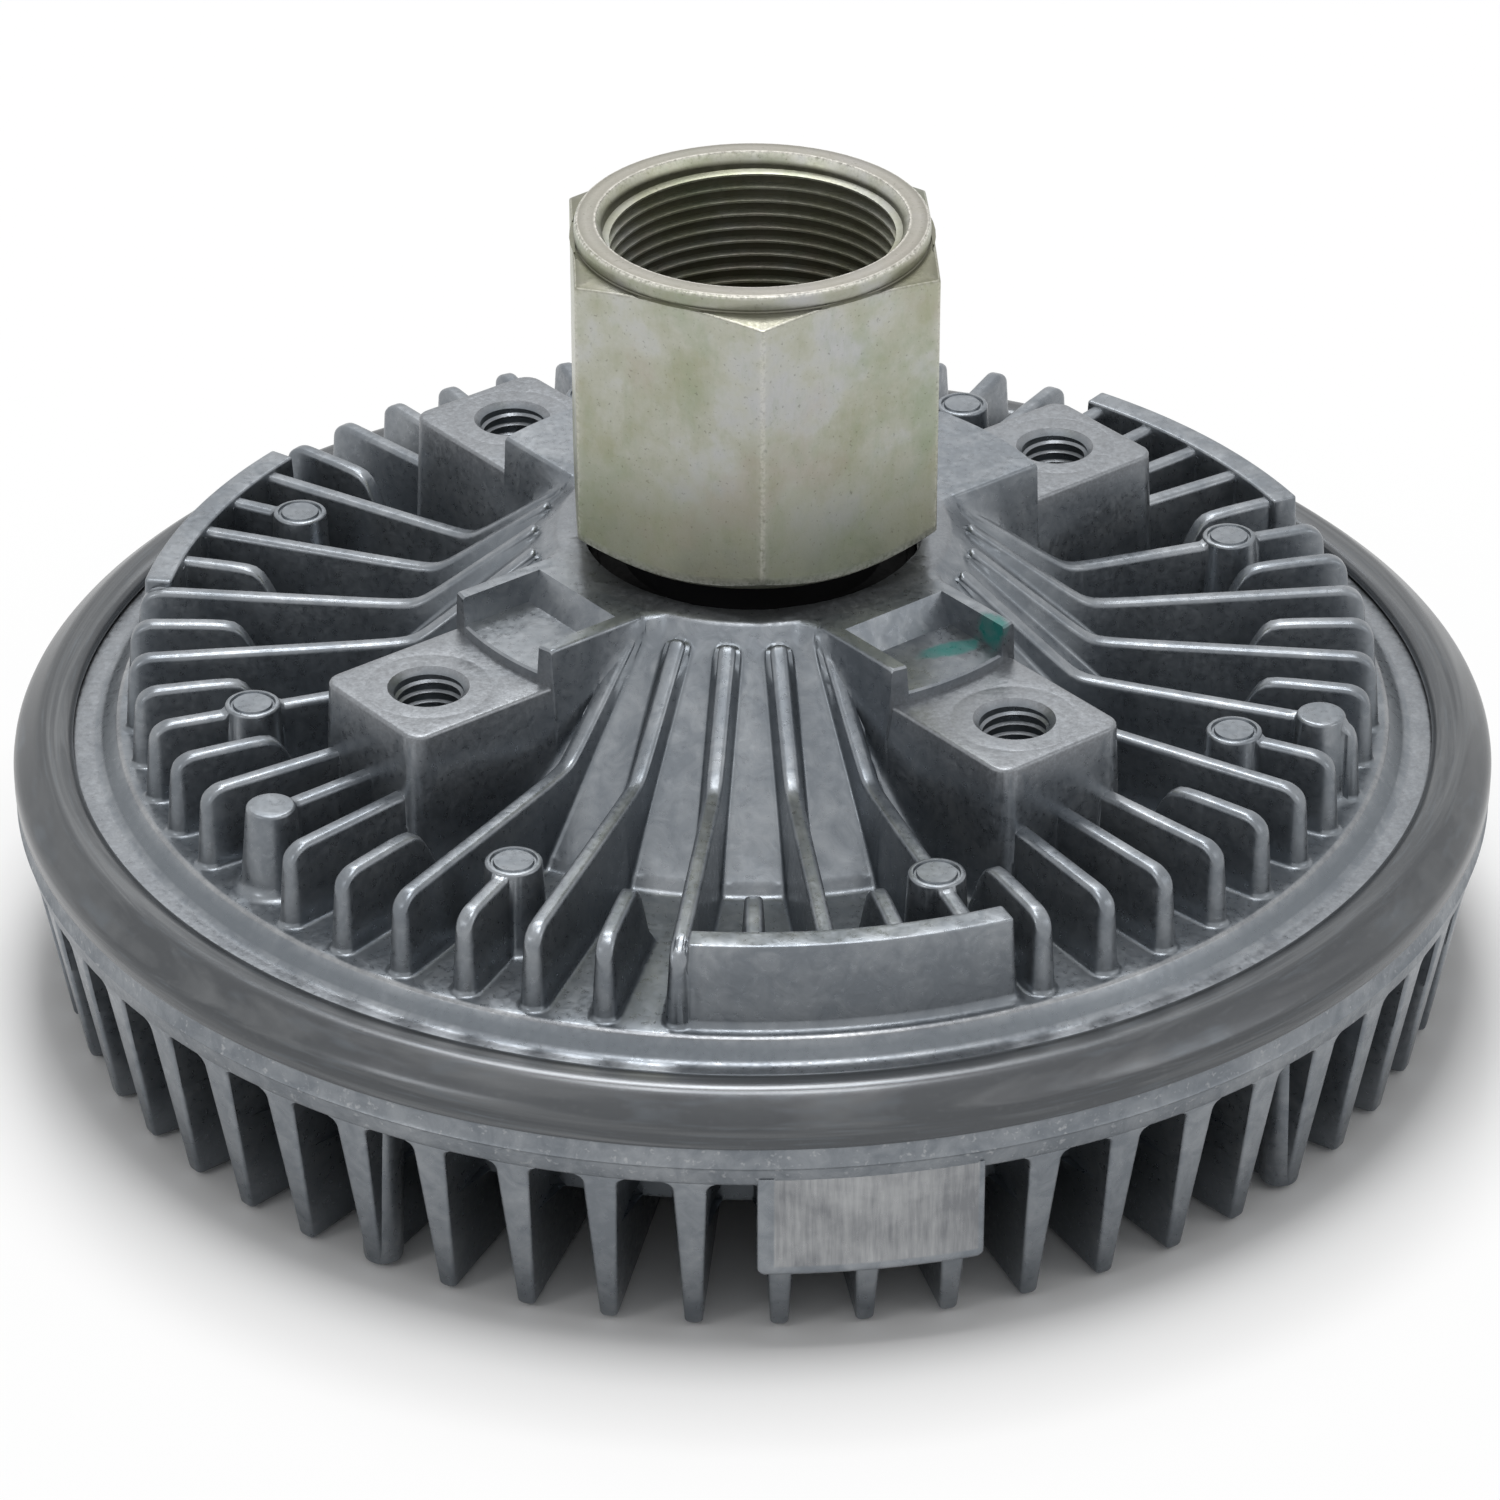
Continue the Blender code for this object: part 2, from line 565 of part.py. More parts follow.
def housing_posts_and_walls():
    """Ejector posts, plain posts and the three arc walls, all a little proud of the ribs."""
    bm = bmesh.new()
    root = RIB_FLOOR - EMBED
    top = RIB_TOP + POST_RISE
    for sector in range(RIB_SECTORS):
        for place in EJECTOR_PLACES:
            angle = RIB_PHASE + (sector * SECTOR_RIBS + place) * RIB_PITCH
            centre = on_circle(EJECTOR_CIRCLE, angle)
            upright(bm, circle(EJECTOR_RADIUS, POST_STEPS, centre), root, top, POST_DRAFT)
    for number in PLAIN_POST_PLACES:
        centre = on_circle(PLAIN_POST_CIRCLE, RIB_PHASE + number * RIB_PITCH)
        upright(bm, circle(PLAIN_POST_RADIUS, POST_STEPS, centre), root, top, POST_DRAFT)
    for middle in ARC_WALL_ANGLES:
        ends = [middle + ARC_WALL_SPAN * (k / 4 - 0.5) for k in range(5)]
        stations = [(angle, root, top) for angle in ends]
        arc_block(bm, ARC_WALL_RADIUS - ARC_WALL_THICKNESS, ARC_WALL_RADIUS, stations)
    return add_object("housing_posts", bm)


def fan_bosses():
    """Four blocks with rounded outer corners, up to the height of the hub."""
    bm = bmesh.new()
    outline = rounded([
        (HUB_LIP_RADIUS - EMBED, -BOSS_HALF_WIDTH, 0.0),
        (BOSS_OUTER, -BOSS_HALF_WIDTH, BOSS_CORNER),
        (BOSS_OUTER, BOSS_HALF_WIDTH, BOSS_CORNER),
        (HUB_LIP_RADIUS - EMBED, BOSS_HALF_WIDTH, 0.0),
    ], 3)
    for angle in BOSS_ANGLES:
        upright(bm, outline, RIB_FLOOR - EMBED, HUB_TOP, BOSS_DRAFT, angle)
    return add_object("fan_bosses", bm)


def pad_facing():
    """The turned cut that leaves the bolt pads and the pilot step of the bosses."""
    top = HUB_TOP + EMBED
    outer = BOSS_OUTER + BOSS_CORNER
    profile = [(PILOT_RADIUS, top), (outer, top), (outer, PAD_HEIGHT), (PILOT_RADIUS, PAD_HEIGHT)]
    return turned("pad_facing", profile, RIB_COUNT, RIB_PHASE)


def boss_cuts():
    """The bolt holes with their chamfers, and the pockets in the front two bosses."""
    bm = bmesh.new()
    for angle in BOSS_ANGLES:
        centre = Vector((*on_circle(BOLT_CIRCLE, angle), 0.0))
        chamfer = BOLT_CHAMFER_RADIUS - BOLT_HOLE_RADIUS
        rings = []
        for radius, height in (
            (BOLT_HOLE_RADIUS, PAD_HEIGHT - BOLT_HOLE_DEPTH),
            (BOLT_HOLE_RADIUS, PAD_HEIGHT - chamfer),
            (BOLT_CHAMFER_RADIUS + EMBED, PAD_HEIGHT + EMBED),
        ):
            ring = circle(radius, HOLE_STEPS, centre)
            rings.append([(x, y, height) for x, y in ring])
        loft(bm, rings)
    for angle in POCKET_BOSSES:
        floor = HUB_TOP - POCKET_DEPTH
        rise = POCKET_RAMP / POCKET_DEPTH * EMBED
        outline = [
            (POCKET_INNER + POCKET_RAMP, floor),
            (PILOT_RADIUS + EMBED, floor),
            (PILOT_RADIUS + EMBED, HUB_TOP + EMBED),
            (POCKET_INNER - rise, HUB_TOP + EMBED),
        ]
        width = 2 * POCKET_HALF_WIDTH
        radial_blade(bm, outline, angle, (floor, width), (HUB_TOP, width))
    return add_object("boss_cuts", bm)


def rear_housing(mat):
    housing = housing_blank()
    combine(housing, housing_ribs(), "UNION")
    combine(housing, housing_posts_and_walls(), "UNION")
    combine(housing, fan_bosses(), "UNION")
    combine(housing, pad_facing(), "DIFFERENCE")
    combine(housing, boss_cuts(), "DIFFERENCE")
    combine(housing, housing_cavity(), "DIFFERENCE")
    return finish(housing, mat)


# Front cover

def cover_blank():
    """The outside of the cover without fins: spun lip, band, cast bead, plate and reservoir bulge."""
    lip_under = FLANGE_TOP + CLEARANCE
    profile = [
        (0.0, BULGE_UNDERSIDE),
        (BULGE_RADIUS, BULGE_UNDERSIDE),
        (BULGE_RADIUS + BULGE_WALL, COVER_UNDERSIDE),
        (WALL_FOOT_RADIUS, COVER_UNDERSIDE),
        (WALL_TOP_RADIUS, RIM_BOTTOM),
        (RIM_RADIUS, RIM_BOTTOM),
        (BEAD_RADIUS, BEAD_HEIGHT),
        (BAND_RADIUS, BAND_BOTTOM),
        (BAND_RADIUS, FLANGE_TOP - LIP_CROWN / 2),
        (BAND_RADIUS - LIP_CROWN, lip_under + LIP_CROWN / 3),
        (BAND_RADIUS - 3 * LIP_CROWN, lip_under + LIP_CROWN),
        (LIP_INNER_RADIUS + LIP_CROWN, lip_under + LIP_CROWN * LIP_EDGE_SHARE),
        (LIP_INNER_RADIUS, lip_under + LIP_THICKNESS),
        (LIP_INNER_RADIUS, lip_under - EMBED),
        (0.0, lip_under - EMBED),
    ]
    return turned("front_cover", profile, FIN_COUNT, FIN_PHASE)


def cover_cavity():
    """Everything that is open inside the cover: the flange's seat, seal groove, chamber and reservoir."""
    seat = FLANGE_RADIUS + FLANGE_SIDE_GAP
    seat_floor = FLANGE_BOTTOM - CLEARANCE
    groove = O_RING_RADIUS + 2 * CLEARANCE
    profile = [
        (0.0, RESERVOIR_FLOOR),
        (BULGE_RADIUS - BULGE_WALL / 2, RESERVOIR_FLOOR),
        (BULGE_RADIUS, LEDGE),
        (CHAMBER_RADIUS, LEDGE),
        (CHAMBER_RADIUS, seat_floor),
        (O_RING_CIRCLE - groove, seat_floor),
        (O_RING_CIRCLE - groove, seat_floor - O_RING_GROOVE_DEPTH),
        (O_RING_CIRCLE + groove, seat_floor - O_RING_GROOVE_DEPTH),
        (O_RING_CIRCLE + groove, seat_floor),
        (seat, seat_floor),
        (seat, FLANGE_TOP + CLEARANCE),
        (0.0, FLANGE_TOP + CLEARANCE),
    ]
    return turned("cover_cavity", profile, INNER_STEPS)


def cover_fins():
    """Radial fins from the bulge to the rim, tapered to their tips, on which the clutch stands."""
    bm = bmesh.new()
    plate = COVER_UNDERSIDE + EMBED
    rim = RIM_BOTTOM + EMBED
    outline = rounded([
        (FIN_INNER_RADIUS, COVER_UNDERSIDE + EMBED, 0.0),
        (FIN_INNER_RADIUS, 0.0, 0.0),
        (FIN_TIP_RADIUS, 0.0, FIN_CORNER),
        (FIN_ROOT_RADIUS, rim, 0.0),
        (WALL_TOP_RADIUS - EMBED, rim, 0.0),
        (WALL_FOOT_RADIUS - EMBED, plate, 0.0),
    ], 1)
    for k in range(FIN_COUNT):
        angle = FIN_PHASE + k * FIN_PITCH
        radial_blade(bm, outline, angle, (RIM_BOTTOM, FIN_ROOT_WIDTH), (0.0, FIN_TIP_WIDTH))
    return add_object("cover_fins", bm)


def fin_posts():
    bm = bmesh.new()
    for number in FIN_POST_PLACES:
        centre = on_circle(FIN_POST_CIRCLE, FIN_PHASE + number * FIN_PITCH)
        rings = []
        for radius, height in ((FIN_POST_TIP_RADIUS, FIN_POST_TIP), (FIN_POST_RADIUS, FIN_POST_HEIGHT)):
            rings.append([(x, y, height) for x, y in circle(radius, POST_STEPS, centre)])
        loft(bm, rings)
    return add_object("fin_posts", bm)


def balance_pad():
    """The machined pad that bridges three fins under the rim."""
    bm = bmesh.new()
    top = RIM_BOTTOM + EMBED
    corner = degrees(BALANCE_PAD_CORNER / BALANCE_PAD_RADIUS)
    start, end = BALANCE_PAD_FROM + corner, BALANCE_PAD_TO - corner
    stations = [(BALANCE_PAD_FROM, BALANCE_PAD_BOTTOM + BALANCE_PAD_CORNER, top)]
    stations += [(start + (end - start) * k / 3, BALANCE_PAD_BOTTOM, top) for k in range(4)]
    stations.append((BALANCE_PAD_TO, BALANCE_PAD_BOTTOM + BALANCE_PAD_CORNER, top))
    arc_block(bm, BALANCE_PAD_RADIUS - BALANCE_PAD_THICKNESS, BALANCE_PAD_RADIUS, stations)
    return add_object("balance_pad", bm)


def cover_lugs():
    """The valve shaft's boss inside the cover, and the pair of lugs that hold the coil's tail."""
    bm = bmesh.new()
    boss = circle(VALVE_BOSS_RADIUS, VALVE_STEPS)
    upright(bm, boss, RESERVOIR_FLOOR - EMBED, VALVE_BOSS_TOP, VALVE_BOSS_DRAFT)
    near = COIL_STRIP / 2 + CLEARANCE
    start = COIL_OUTER_RADIUS + COIL_STRIP + 2 * CLEARANCE
    for side in (-1, 1):
        outline = [
            (start, side * near),
            (start + LUG_LENGTH, side * near),
            (start + LUG_LENGTH, side * (near + LUG_WIDTH)),
            (start, side * (near + LUG_WIDTH)),
        ]
        upright(bm, outline, COIL_BOTTOM, BULGE_UNDERSIDE + EMBED)
    return add_object("cover_lugs", bm)


def cover_holes():
    """The valve shaft's bore and the blind screw holes in the ledge."""
    bm = bmesh.new()
    bore = circle(VALVE_SHAFT_RADIUS + CLEARANCE, VALVE_STEPS)
    upright(bm, bore, BULGE_UNDERSIDE - EMBED, VALVE_BOSS_TOP + EMBED)
    for angle in SCREW_ANGLES:
        ring = circle(SCREW_SHANK_RADIUS + CLEARANCE, SCREW_STEPS, on_circle(SCREW_CIRCLE, angle))
        upright(bm, ring, SCREW_TOP - SCREW_HEAD_HEIGHT - SCREW_LENGTH - CLEARANCE, LEDGE + EMBED)
    return add_object("cover_holes", bm)


def front_cover(mat):
    cover = cover_blank()
    combine(cover, cover_cavity(), "DIFFERENCE")
    combine(cover, cover_fins(), "UNION")
    combine(cover, fin_posts(), "UNION")
    combine(cover, balance_pad(), "UNION")
    combine(cover, cover_lugs(), "UNION")
    combine(cover, cover_holes(), "DIFFERENCE")
    return finish(cover, mat)


def ring_seal(name, mat, circle_radius, height, section, steps, sides):
    """An O-ring, its section with so many sides."""
    profile = [(circle_radius + section * cos(2 * pi * k / sides), height - section * sin(2 * pi * k / sides))
               for k in range(sides)]
    return finish(turned(name, profile, steps), mat, 70.0)


def rim_o_ring(mat):
    floor = FLANGE_BOTTOM - CLEARANCE - O_RING_GROOVE_DEPTH
    height = floor + CLEARANCE + O_RING_RADIUS
    return ring_seal("rim_o_ring", mat, O_RING_CIRCLE, height, O_RING_RADIUS, INNER_STEPS, 4)


# Input shaft, bearing and rotor

def input_shaft(mat):
    """The hexagon, its threaded socket and the shaft with the head that holds the rotor."""
    socket_floor = NUT_BASE + SOCKET_FLOOR_WALL
    corner = NUT_FLATS / sqrt(3)
    beyond = corner + EMBED
    shoulder = NUT_TOP - COLLAR_HEIGHT
    seat = BEARING_BORE / 2 - CLEARANCE
    journal = ROTOR_BORE_RADIUS - CLEARANCE
    head_top = ROTOR_BOTTOM + ROTOR_RECESS_DEPTH - CLEARANCE
    bevel_radius = NUT_FLATS / 2 - BASE_BEVEL_INSET
    profile = [
        (0.0, head_top - SHAFT_HEAD_THICKNESS),
        (SHAFT_HEAD_RADIUS, head_top - SHAFT_HEAD_THICKNESS),
        (SHAFT_HEAD_RADIUS, head_top),
        (journal, head_top),
        (journal, BEARING_BOTTOM),
        (seat, BEARING_BOTTOM),
        (seat, BEARING_TOP + CLEARANCE),
        (NECK_RADIUS, BEARING_TOP + CLEARANCE),
        (NECK_RADIUS, NUT_BASE),
        (bevel_radius, NUT_BASE),
        (beyond, NUT_BASE + (beyond - bevel_radius) * BASE_BEVEL_RISE),
        (beyond, shoulder - (beyond - COLLAR_RADIUS) * SHOULDER_FALL),
        (COLLAR_RADIUS, shoulder),
        (COLLAR_RADIUS, NUT_TOP),
        (SOCKET_MOUTH_RADIUS, NUT_TOP),
        (THREAD_RADIUS, NUT_TOP - (SOCKET_MOUTH_RADIUS - THREAD_RADIUS)),
        (THREAD_RADIUS, socket_floor + THREAD_RELIEF),
        (SOCKET_MOUTH_RADIUS, socket_floor + THREAD_RELIEF),
        (SOCKET_MOUTH_RADIUS, socket_floor),
        (0.0, socket_floor),
    ]
    shaft = turned("input_shaft", profile, SHAFT_STEPS, NUT_CORNER_ANGLE)
    bottom = head_top - SHAFT_HEAD_THICKNESS - EMBED
    hexagon = upright_object("hexagon", circle(corner, 6), bottom, NUT_TOP + EMBED, angle=NUT_CORNER_ANGLE)
    combine(shaft, hexagon, "INTERSECT")
    return finish(shaft, mat, 25.0)


def race_groove(side):
    """Points of the ball groove of a ring, top to bottom: side +1 for the outer ring, -1 for the inner."""
    radius = BALL_DIAMETER / 2 + RACE_GAP
    reach = sqrt(radius ** 2 - RACE_SHOULDER ** 2)
    points = []
    for share in (1.0, RACE_MIDDLE_SHARE, -RACE_MIDDLE_SHARE, -1.0):
        offset = reach * share
        points.append((BALL_CIRCLE + side * sqrt(radius ** 2 - offset ** 2), BEARING_MIDDLE + offset))
    return points


def bearing_rings(mat):
    outer = BEARING_DIAMETER / 2
    inner = BEARING_BORE / 2
    shoulder_out = BALL_CIRCLE + RACE_SHOULDER
    shoulder_in = BALL_CIRCLE - RACE_SHOULDER
    outer_profile = [(outer, BEARING_TOP), (outer, BEARING_BOTTOM), (shoulder_out, BEARING_BOTTOM)]
    outer_profile += list(reversed(race_groove(1))) + [(shoulder_out, BEARING_TOP)]
    inner_profile = [(shoulder_in, BEARING_TOP)] + race_groove(-1)
    inner_profile += [(shoulder_in, BEARING_BOTTOM), (inner, BEARING_BOTTOM), (inner, BEARING_TOP)]
    outer_ring = finish(turned("bearing_outer_ring", outer_profile, INNER_STEPS), mat)
    inner_ring = finish(turned("bearing_inner_ring", inner_profile, INNER_STEPS), mat)
    return outer_ring, inner_ring


def bearing_balls(mat):
    balls = []
    for k in range(BALL_COUNT):
        angle = 360.0 * k / BALL_COUNT
        bm = bmesh.new()
        bmesh.ops.create_uvsphere(bm, u_segments=8, v_segments=5, radius=BALL_DIAMETER / 2)
        ball = add_object(f"bearing_ball_{k + 1}", bm)
        ball.location = (*on_circle(BALL_CIRCLE, angle), BEARING_MIDDLE)
        balls.append(finish(ball, mat, 180.0))
    return balls


def bearing_cage(mat):
    """A crown cage: a flat ring over the balls with a finger down between each pair."""
    low = BEARING_MIDDLE + BALL_DIAMETER / 2 + CLEARANCE
    inner = BALL_CIRCLE - CAGE_WIDTH / 2
    outer = BALL_CIRCLE + CAGE_WIDTH / 2
    profile = [(outer, low + CAGE_THICKNESS), (outer, low), (inner, low), (inner, low + CAGE_THICKNESS)]
    cage = turned("bearing_cage", profile, INNER_STEPS)
    bm = bmesh.new()
    for k in range(BALL_COUNT):
        outline = [
            (inner + CAGE_FINGER_INSET, -CAGE_FINGER / 2),
            (outer - CAGE_FINGER_INSET, -CAGE_FINGER / 2),
            (outer - CAGE_FINGER_INSET, CAGE_FINGER / 2),
            (inner + CAGE_FINGER_INSET, CAGE_FINGER / 2),
        ]
        top = low + CAGE_THICKNESS / 2
        upright(bm, outline, low - CAGE_FINGER_LENGTH, top, 0.0, 360.0 * (k + 0.5) / BALL_COUNT)
    combine(cage, add_object("cage_fingers", bm), "UNION")
    return finish(cage, mat)


def bearing_seals(mat):
    inner = BALL_CIRCLE - RACE_SHOULDER + CLEARANCE
    outer = BALL_CIRCLE + RACE_SHOULDER - CLEARANCE
    seals = []
    for name, top in (
        ("bearing_seal_rear", BEARING_TOP - SEAL_RECESS),
        ("bearing_seal_front", BEARING_BOTTOM + SEAL_RECESS + SEAL_THICKNESS),
    ):
        profile = [(outer, top), (outer, top - SEAL_THICKNESS), (inner, top - SEAL_THICKNESS), (inner, top)]
        seals.append(finish(turned(name, profile, INNER_STEPS), mat))
    return seals


def bearing_retaining_ring(mat):
    """An open ring sprung into the groove below the bearing."""
    bm = bmesh.new()
    sweep = 360.0 - RETAINER_OPENING
    stations = []
    for k in range(RETAINER_STEPS + 1):
        angle = RETAINER_OPENING / 2 + sweep * k / RETAINER_STEPS
        stations.append((angle, RETAINER_BOTTOM, RETAINER_TOP))
    arc_block(bm, RETAINER_RADIUS - RETAINER_WIDTH, RETAINER_RADIUS, stations)
    return finish(add_object("bearing_retaining_ring", bm), mat)


def rotor(mat):
    """The driven disc, with grooves that run round the housing's lands."""
    web_top = ROTOR_TOP - ROTOR_WEB_DROP
    hub_top = BEARING_BOTTOM - CLEARANCE
    profile = [
        (ROTOR_BORE_RADIUS, hub_top),
        (ROTOR_BORE_RADIUS, ROTOR_BOTTOM + ROTOR_RECESS_DEPTH),
        (ROTOR_RECESS_RADIUS, ROTOR_BOTTOM + ROTOR_RECESS_DEPTH),
        (ROTOR_RECESS_RADIUS, ROTOR_BOTTOM),
        (ROTOR_RADIUS, ROTOR_BOTTOM),
        (ROTOR_RADIUS, ROTOR_TOP),
    ]
    grooves = [(r, ROTOR_TOP + z) for r, z in land_profile(LAND_DEPTH, LAND_SIDE_GAP)]
    profile += list(reversed(grooves))
    profile += [
        (ROTOR_WEB_RADIUS + ROTOR_WEB_DROP, ROTOR_TOP),
        (ROTOR_WEB_RADIUS, web_top),
        (ROTOR_HUB_RADIUS + ROTOR_WEB_DROP, web_top),
        (ROTOR_HUB_RADIUS, web_top + ROTOR_WEB_DROP),
        (ROTOR_HUB_RADIUS, hub_top),
    ]
    return finish(turned("rotor", profile, INNER_STEPS), mat)


# Pump plate

def pump_plate(mat):
    """The steel plate between the reservoir and the working chamber."""
    disc = circle(CHAMBER_RADIUS - PLATE_EDGE_GAP, INNER_STEPS)
    plate = upright_object("pump_plate", disc, PLATE_BOTTOM, PLATE_TOP)
    bm = bmesh.new()
    holes = [(PORT_CIRCLE, 0.0, PORT_RADIUS)]
    holes += [(SCAVENGE_CIRCLE, angle, SCAVENGE_RADIUS) for angle in SCAVENGE_ANGLES]
    holes += [(SCREW_CIRCLE, angle, SCREW_SHANK_RADIUS + CLEARANCE) for angle in SCREW_ANGLES]
    for distance, angle, radius in holes:
        ring = circle(radius, SCREW_STEPS, on_circle(distance, angle))
        upright(bm, ring, PLATE_BOTTOM - EMBED, PLATE_TOP + EMBED)
    combine(plate, add_object("plate_holes", bm), "DIFFERENCE")
    return finish(plate, mat)


def pump_plate_screws(mat):
    screws = []
    under_head = SCREW_TOP - SCREW_HEAD_HEIGHT
    for k, angle in enumerate(SCREW_ANGLES):
        bm = bmesh.new()
        centre = on_circle(SCREW_CIRCLE, angle)
        rings = []
        for radius, height in (
            (SCREW_SHANK_RADIUS, under_head - SCREW_LENGTH),
            (SCREW_SHANK_RADIUS, under_head),
            (SCREW_HEAD_RADIUS, under_head),
            (SCREW_HEAD_RADIUS, SCREW_TOP),
        ):
            rings.append([(x, y, height) for x, y in circle(radius, SCREW_STEPS, centre)])
        loft(bm, rings)
        screws.append(finish(add_object(f"pump_plate_screw_{k + 1}", bm), mat))
    return screws


def wipers(mat):
    """Small blocks that scrape fluid from the rotor into the scavenge holes."""
    pieces = []
    bottom = PLATE_TOP + CLEARANCE
    for k, angle in enumerate(SCAVENGE_ANGLES):
        end = SCAVENGE_CIRCLE + WIPER_WIDTH / 2
        outline = rounded([
            (end - WIPER_LENGTH, -WIPER_WIDTH / 2, 0.0),
            (end, -WIPER_WIDTH / 2, WIPER_WIDTH / 4),
            (end, WIPER_WIDTH / 2, WIPER_WIDTH / 4),
            (end - WIPER_LENGTH, WIPER_WIDTH / 2, 0.0),
        ], 2)
        name = f"wiper_{k + 1}"
        piece = upright_object(name, outline, bottom, bottom + WIPER_HEIGHT, angle=angle + WIPER_LEAD)
        pieces.append(finish(piece, mat))
    return pieces


# Valve

def valve_shaft(mat):
    """The pin that the coil turns: slotted end, seal groove and the spigot that carries the arm."""
    seal_height = (BULGE_UNDERSIDE + VALVE_BOSS_TOP) / 2
    bottom = COIL_BOTTOM - SHAFT_PAST_COIL
    groove = SHAFT_SEAL_SECTION + CLEARANCE
    profile = [
        (0.0, bottom),
        (VALVE_SHAFT_RADIUS, bottom),
        (VALVE_SHAFT_RADIUS, seal_height - groove),
        (VALVE_SHAFT_RADIUS - SHAFT_SEAL_GROOVE, seal_height - groove),
        (VALVE_SHAFT_RADIUS - SHAFT_SEAL_GROOVE, seal_height + groove),
        (VALVE_SHAFT_RADIUS, seal_height + groove),
        (VALVE_SHAFT_RADIUS, VALVE_BOSS_TOP),
        (VALVE_SPIGOT_RADIUS, VALVE_BOSS_TOP),
        (VALVE_SPIGOT_RADIUS, ARM_TOP),
        (0.0, ARM_TOP),
    ]
    shaft = turned("valve_shaft", profile, VALVE_STEPS, 180.0 / VALVE_STEPS)
    half = COIL_STRIP / 2 + CLEARANCE
    reach = VALVE_SHAFT_RADIUS + EMBED
    slot = upright_object(
        "coil_slot",
        [(-reach, -half), (reach, -half), (reach, half), (-reach, half)],
        bottom - EMBED, COIL_TOP + CLEARANCE,
    )
    combine(shaft, slot, "DIFFERENCE")
    return finish(shaft, mat)


def valve_shaft_o_ring(mat):
    seal_height = (BULGE_UNDERSIDE + VALVE_BOSS_TOP) / 2
    middle = VALVE_SHAFT_RADIUS - SHAFT_SEAL_GROOVE / 2 + CLEARANCE / 3
    section = SHAFT_SEAL_SECTION * SHAFT_SEAL_SHARE
    return ring_seal("valve_shaft_o_ring", mat, middle, seal_height, section, VALVE_STEPS, 5)


def valve_arm(mat):
    """The flat arm that covers the port in the pump plate."""
    narrow = ARM_TIP_RADIUS * ARM_WAIST_SHARE
    hub = ARM_HUB_RADIUS
    tip = ARM_TIP_RADIUS
    outline = rounded([
        (-hub, -hub, hub * ARM_HUB_CORNER_SHARE),
        (hub, -hub, hub * ARM_SHOULDER_CORNER_SHARE),
        (PORT_CIRCLE - 2 * tip, -narrow, 0.0),
        (PORT_CIRCLE - tip, -tip, 0.0),
        (PORT_CIRCLE + tip, -tip, tip * ARM_TIP_CORNER_SHARE),
        (PORT_CIRCLE + tip, tip, tip * ARM_TIP_CORNER_SHARE),
        (PORT_CIRCLE - tip, tip, 0.0),
        (PORT_CIRCLE - 2 * tip, narrow, 0.0),
        (hub, hub, hub * ARM_SHOULDER_CORNER_SHARE),
        (-hub, hub, hub * ARM_HUB_CORNER_SHARE),
    ], 3)
    arm = upright_object("valve_arm", outline, ARM_BOTTOM, ARM_TOP)
    hole = upright_object(
        "arm_hole", circle(VALVE_SPIGOT_RADIUS + CLEARANCE, VALVE_STEPS), ARM_BOTTOM - EMBED, ARM_TOP + EMBED)
    combine(arm, hole, "DIFFERENCE")
    return finish(arm, mat)


def bimetal_coil(mat):
    """A flat spiral: its inner end lies in the shaft's slot and its tail between the cover's lugs."""
    path = [Vector((-COIL_ENTRY_SHARE * VALVE_SHAFT_RADIUS, 0.0))]
    for k in range(COIL_TURNS * COIL_STEPS + 1):
        turns = k / COIL_STEPS
        path.append(Vector(on_circle(COIL_INNER_RADIUS + COIL_PITCH * turns, 360.0 * turns)))
    path.append(Vector((COIL_OUTER_RADIUS + COIL_TAIL, 0.0)))
    left, right = [], []
    for k, here in enumerate(path):
        before = (here - path[k - 1]).normalized() if k > 0 else None
        after = (path[k + 1] - here).normalized() if k < len(path) - 1 else None
        if before is None:
            before = after
        if after is None:
            after = before
        bisector = (before + after).normalized()
        normal = Vector((-bisector.y, bisector.x))
        width = COIL_STRIP / 2 / max(normal.dot(Vector((-after.y, after.x))), COIL_MITRE_SHARE)
        left.append(here + normal * width)
        right.append(here - normal * width)
    bm = bmesh.new()
    rings = []
    for a, b in zip(left, right):
        low = [(a.x, a.y, COIL_BOTTOM), (b.x, b.y, COIL_BOTTOM)]
        rings.append(low + [(b.x, b.y, COIL_TOP), (a.x, a.y, COIL_TOP)])
    loft(bm, rings)
    return finish(add_object("bimetal_coil", bm), mat)


def axis_empty(name, pieces):
    """An empty on the clutch's axis that turns the pieces of one moving group."""
    empty = bpy.data.objects.new(name, None)
    bpy.context.scene.collection.objects.link(empty)
    for piece in pieces:
        piece.parent = empty
    return empty


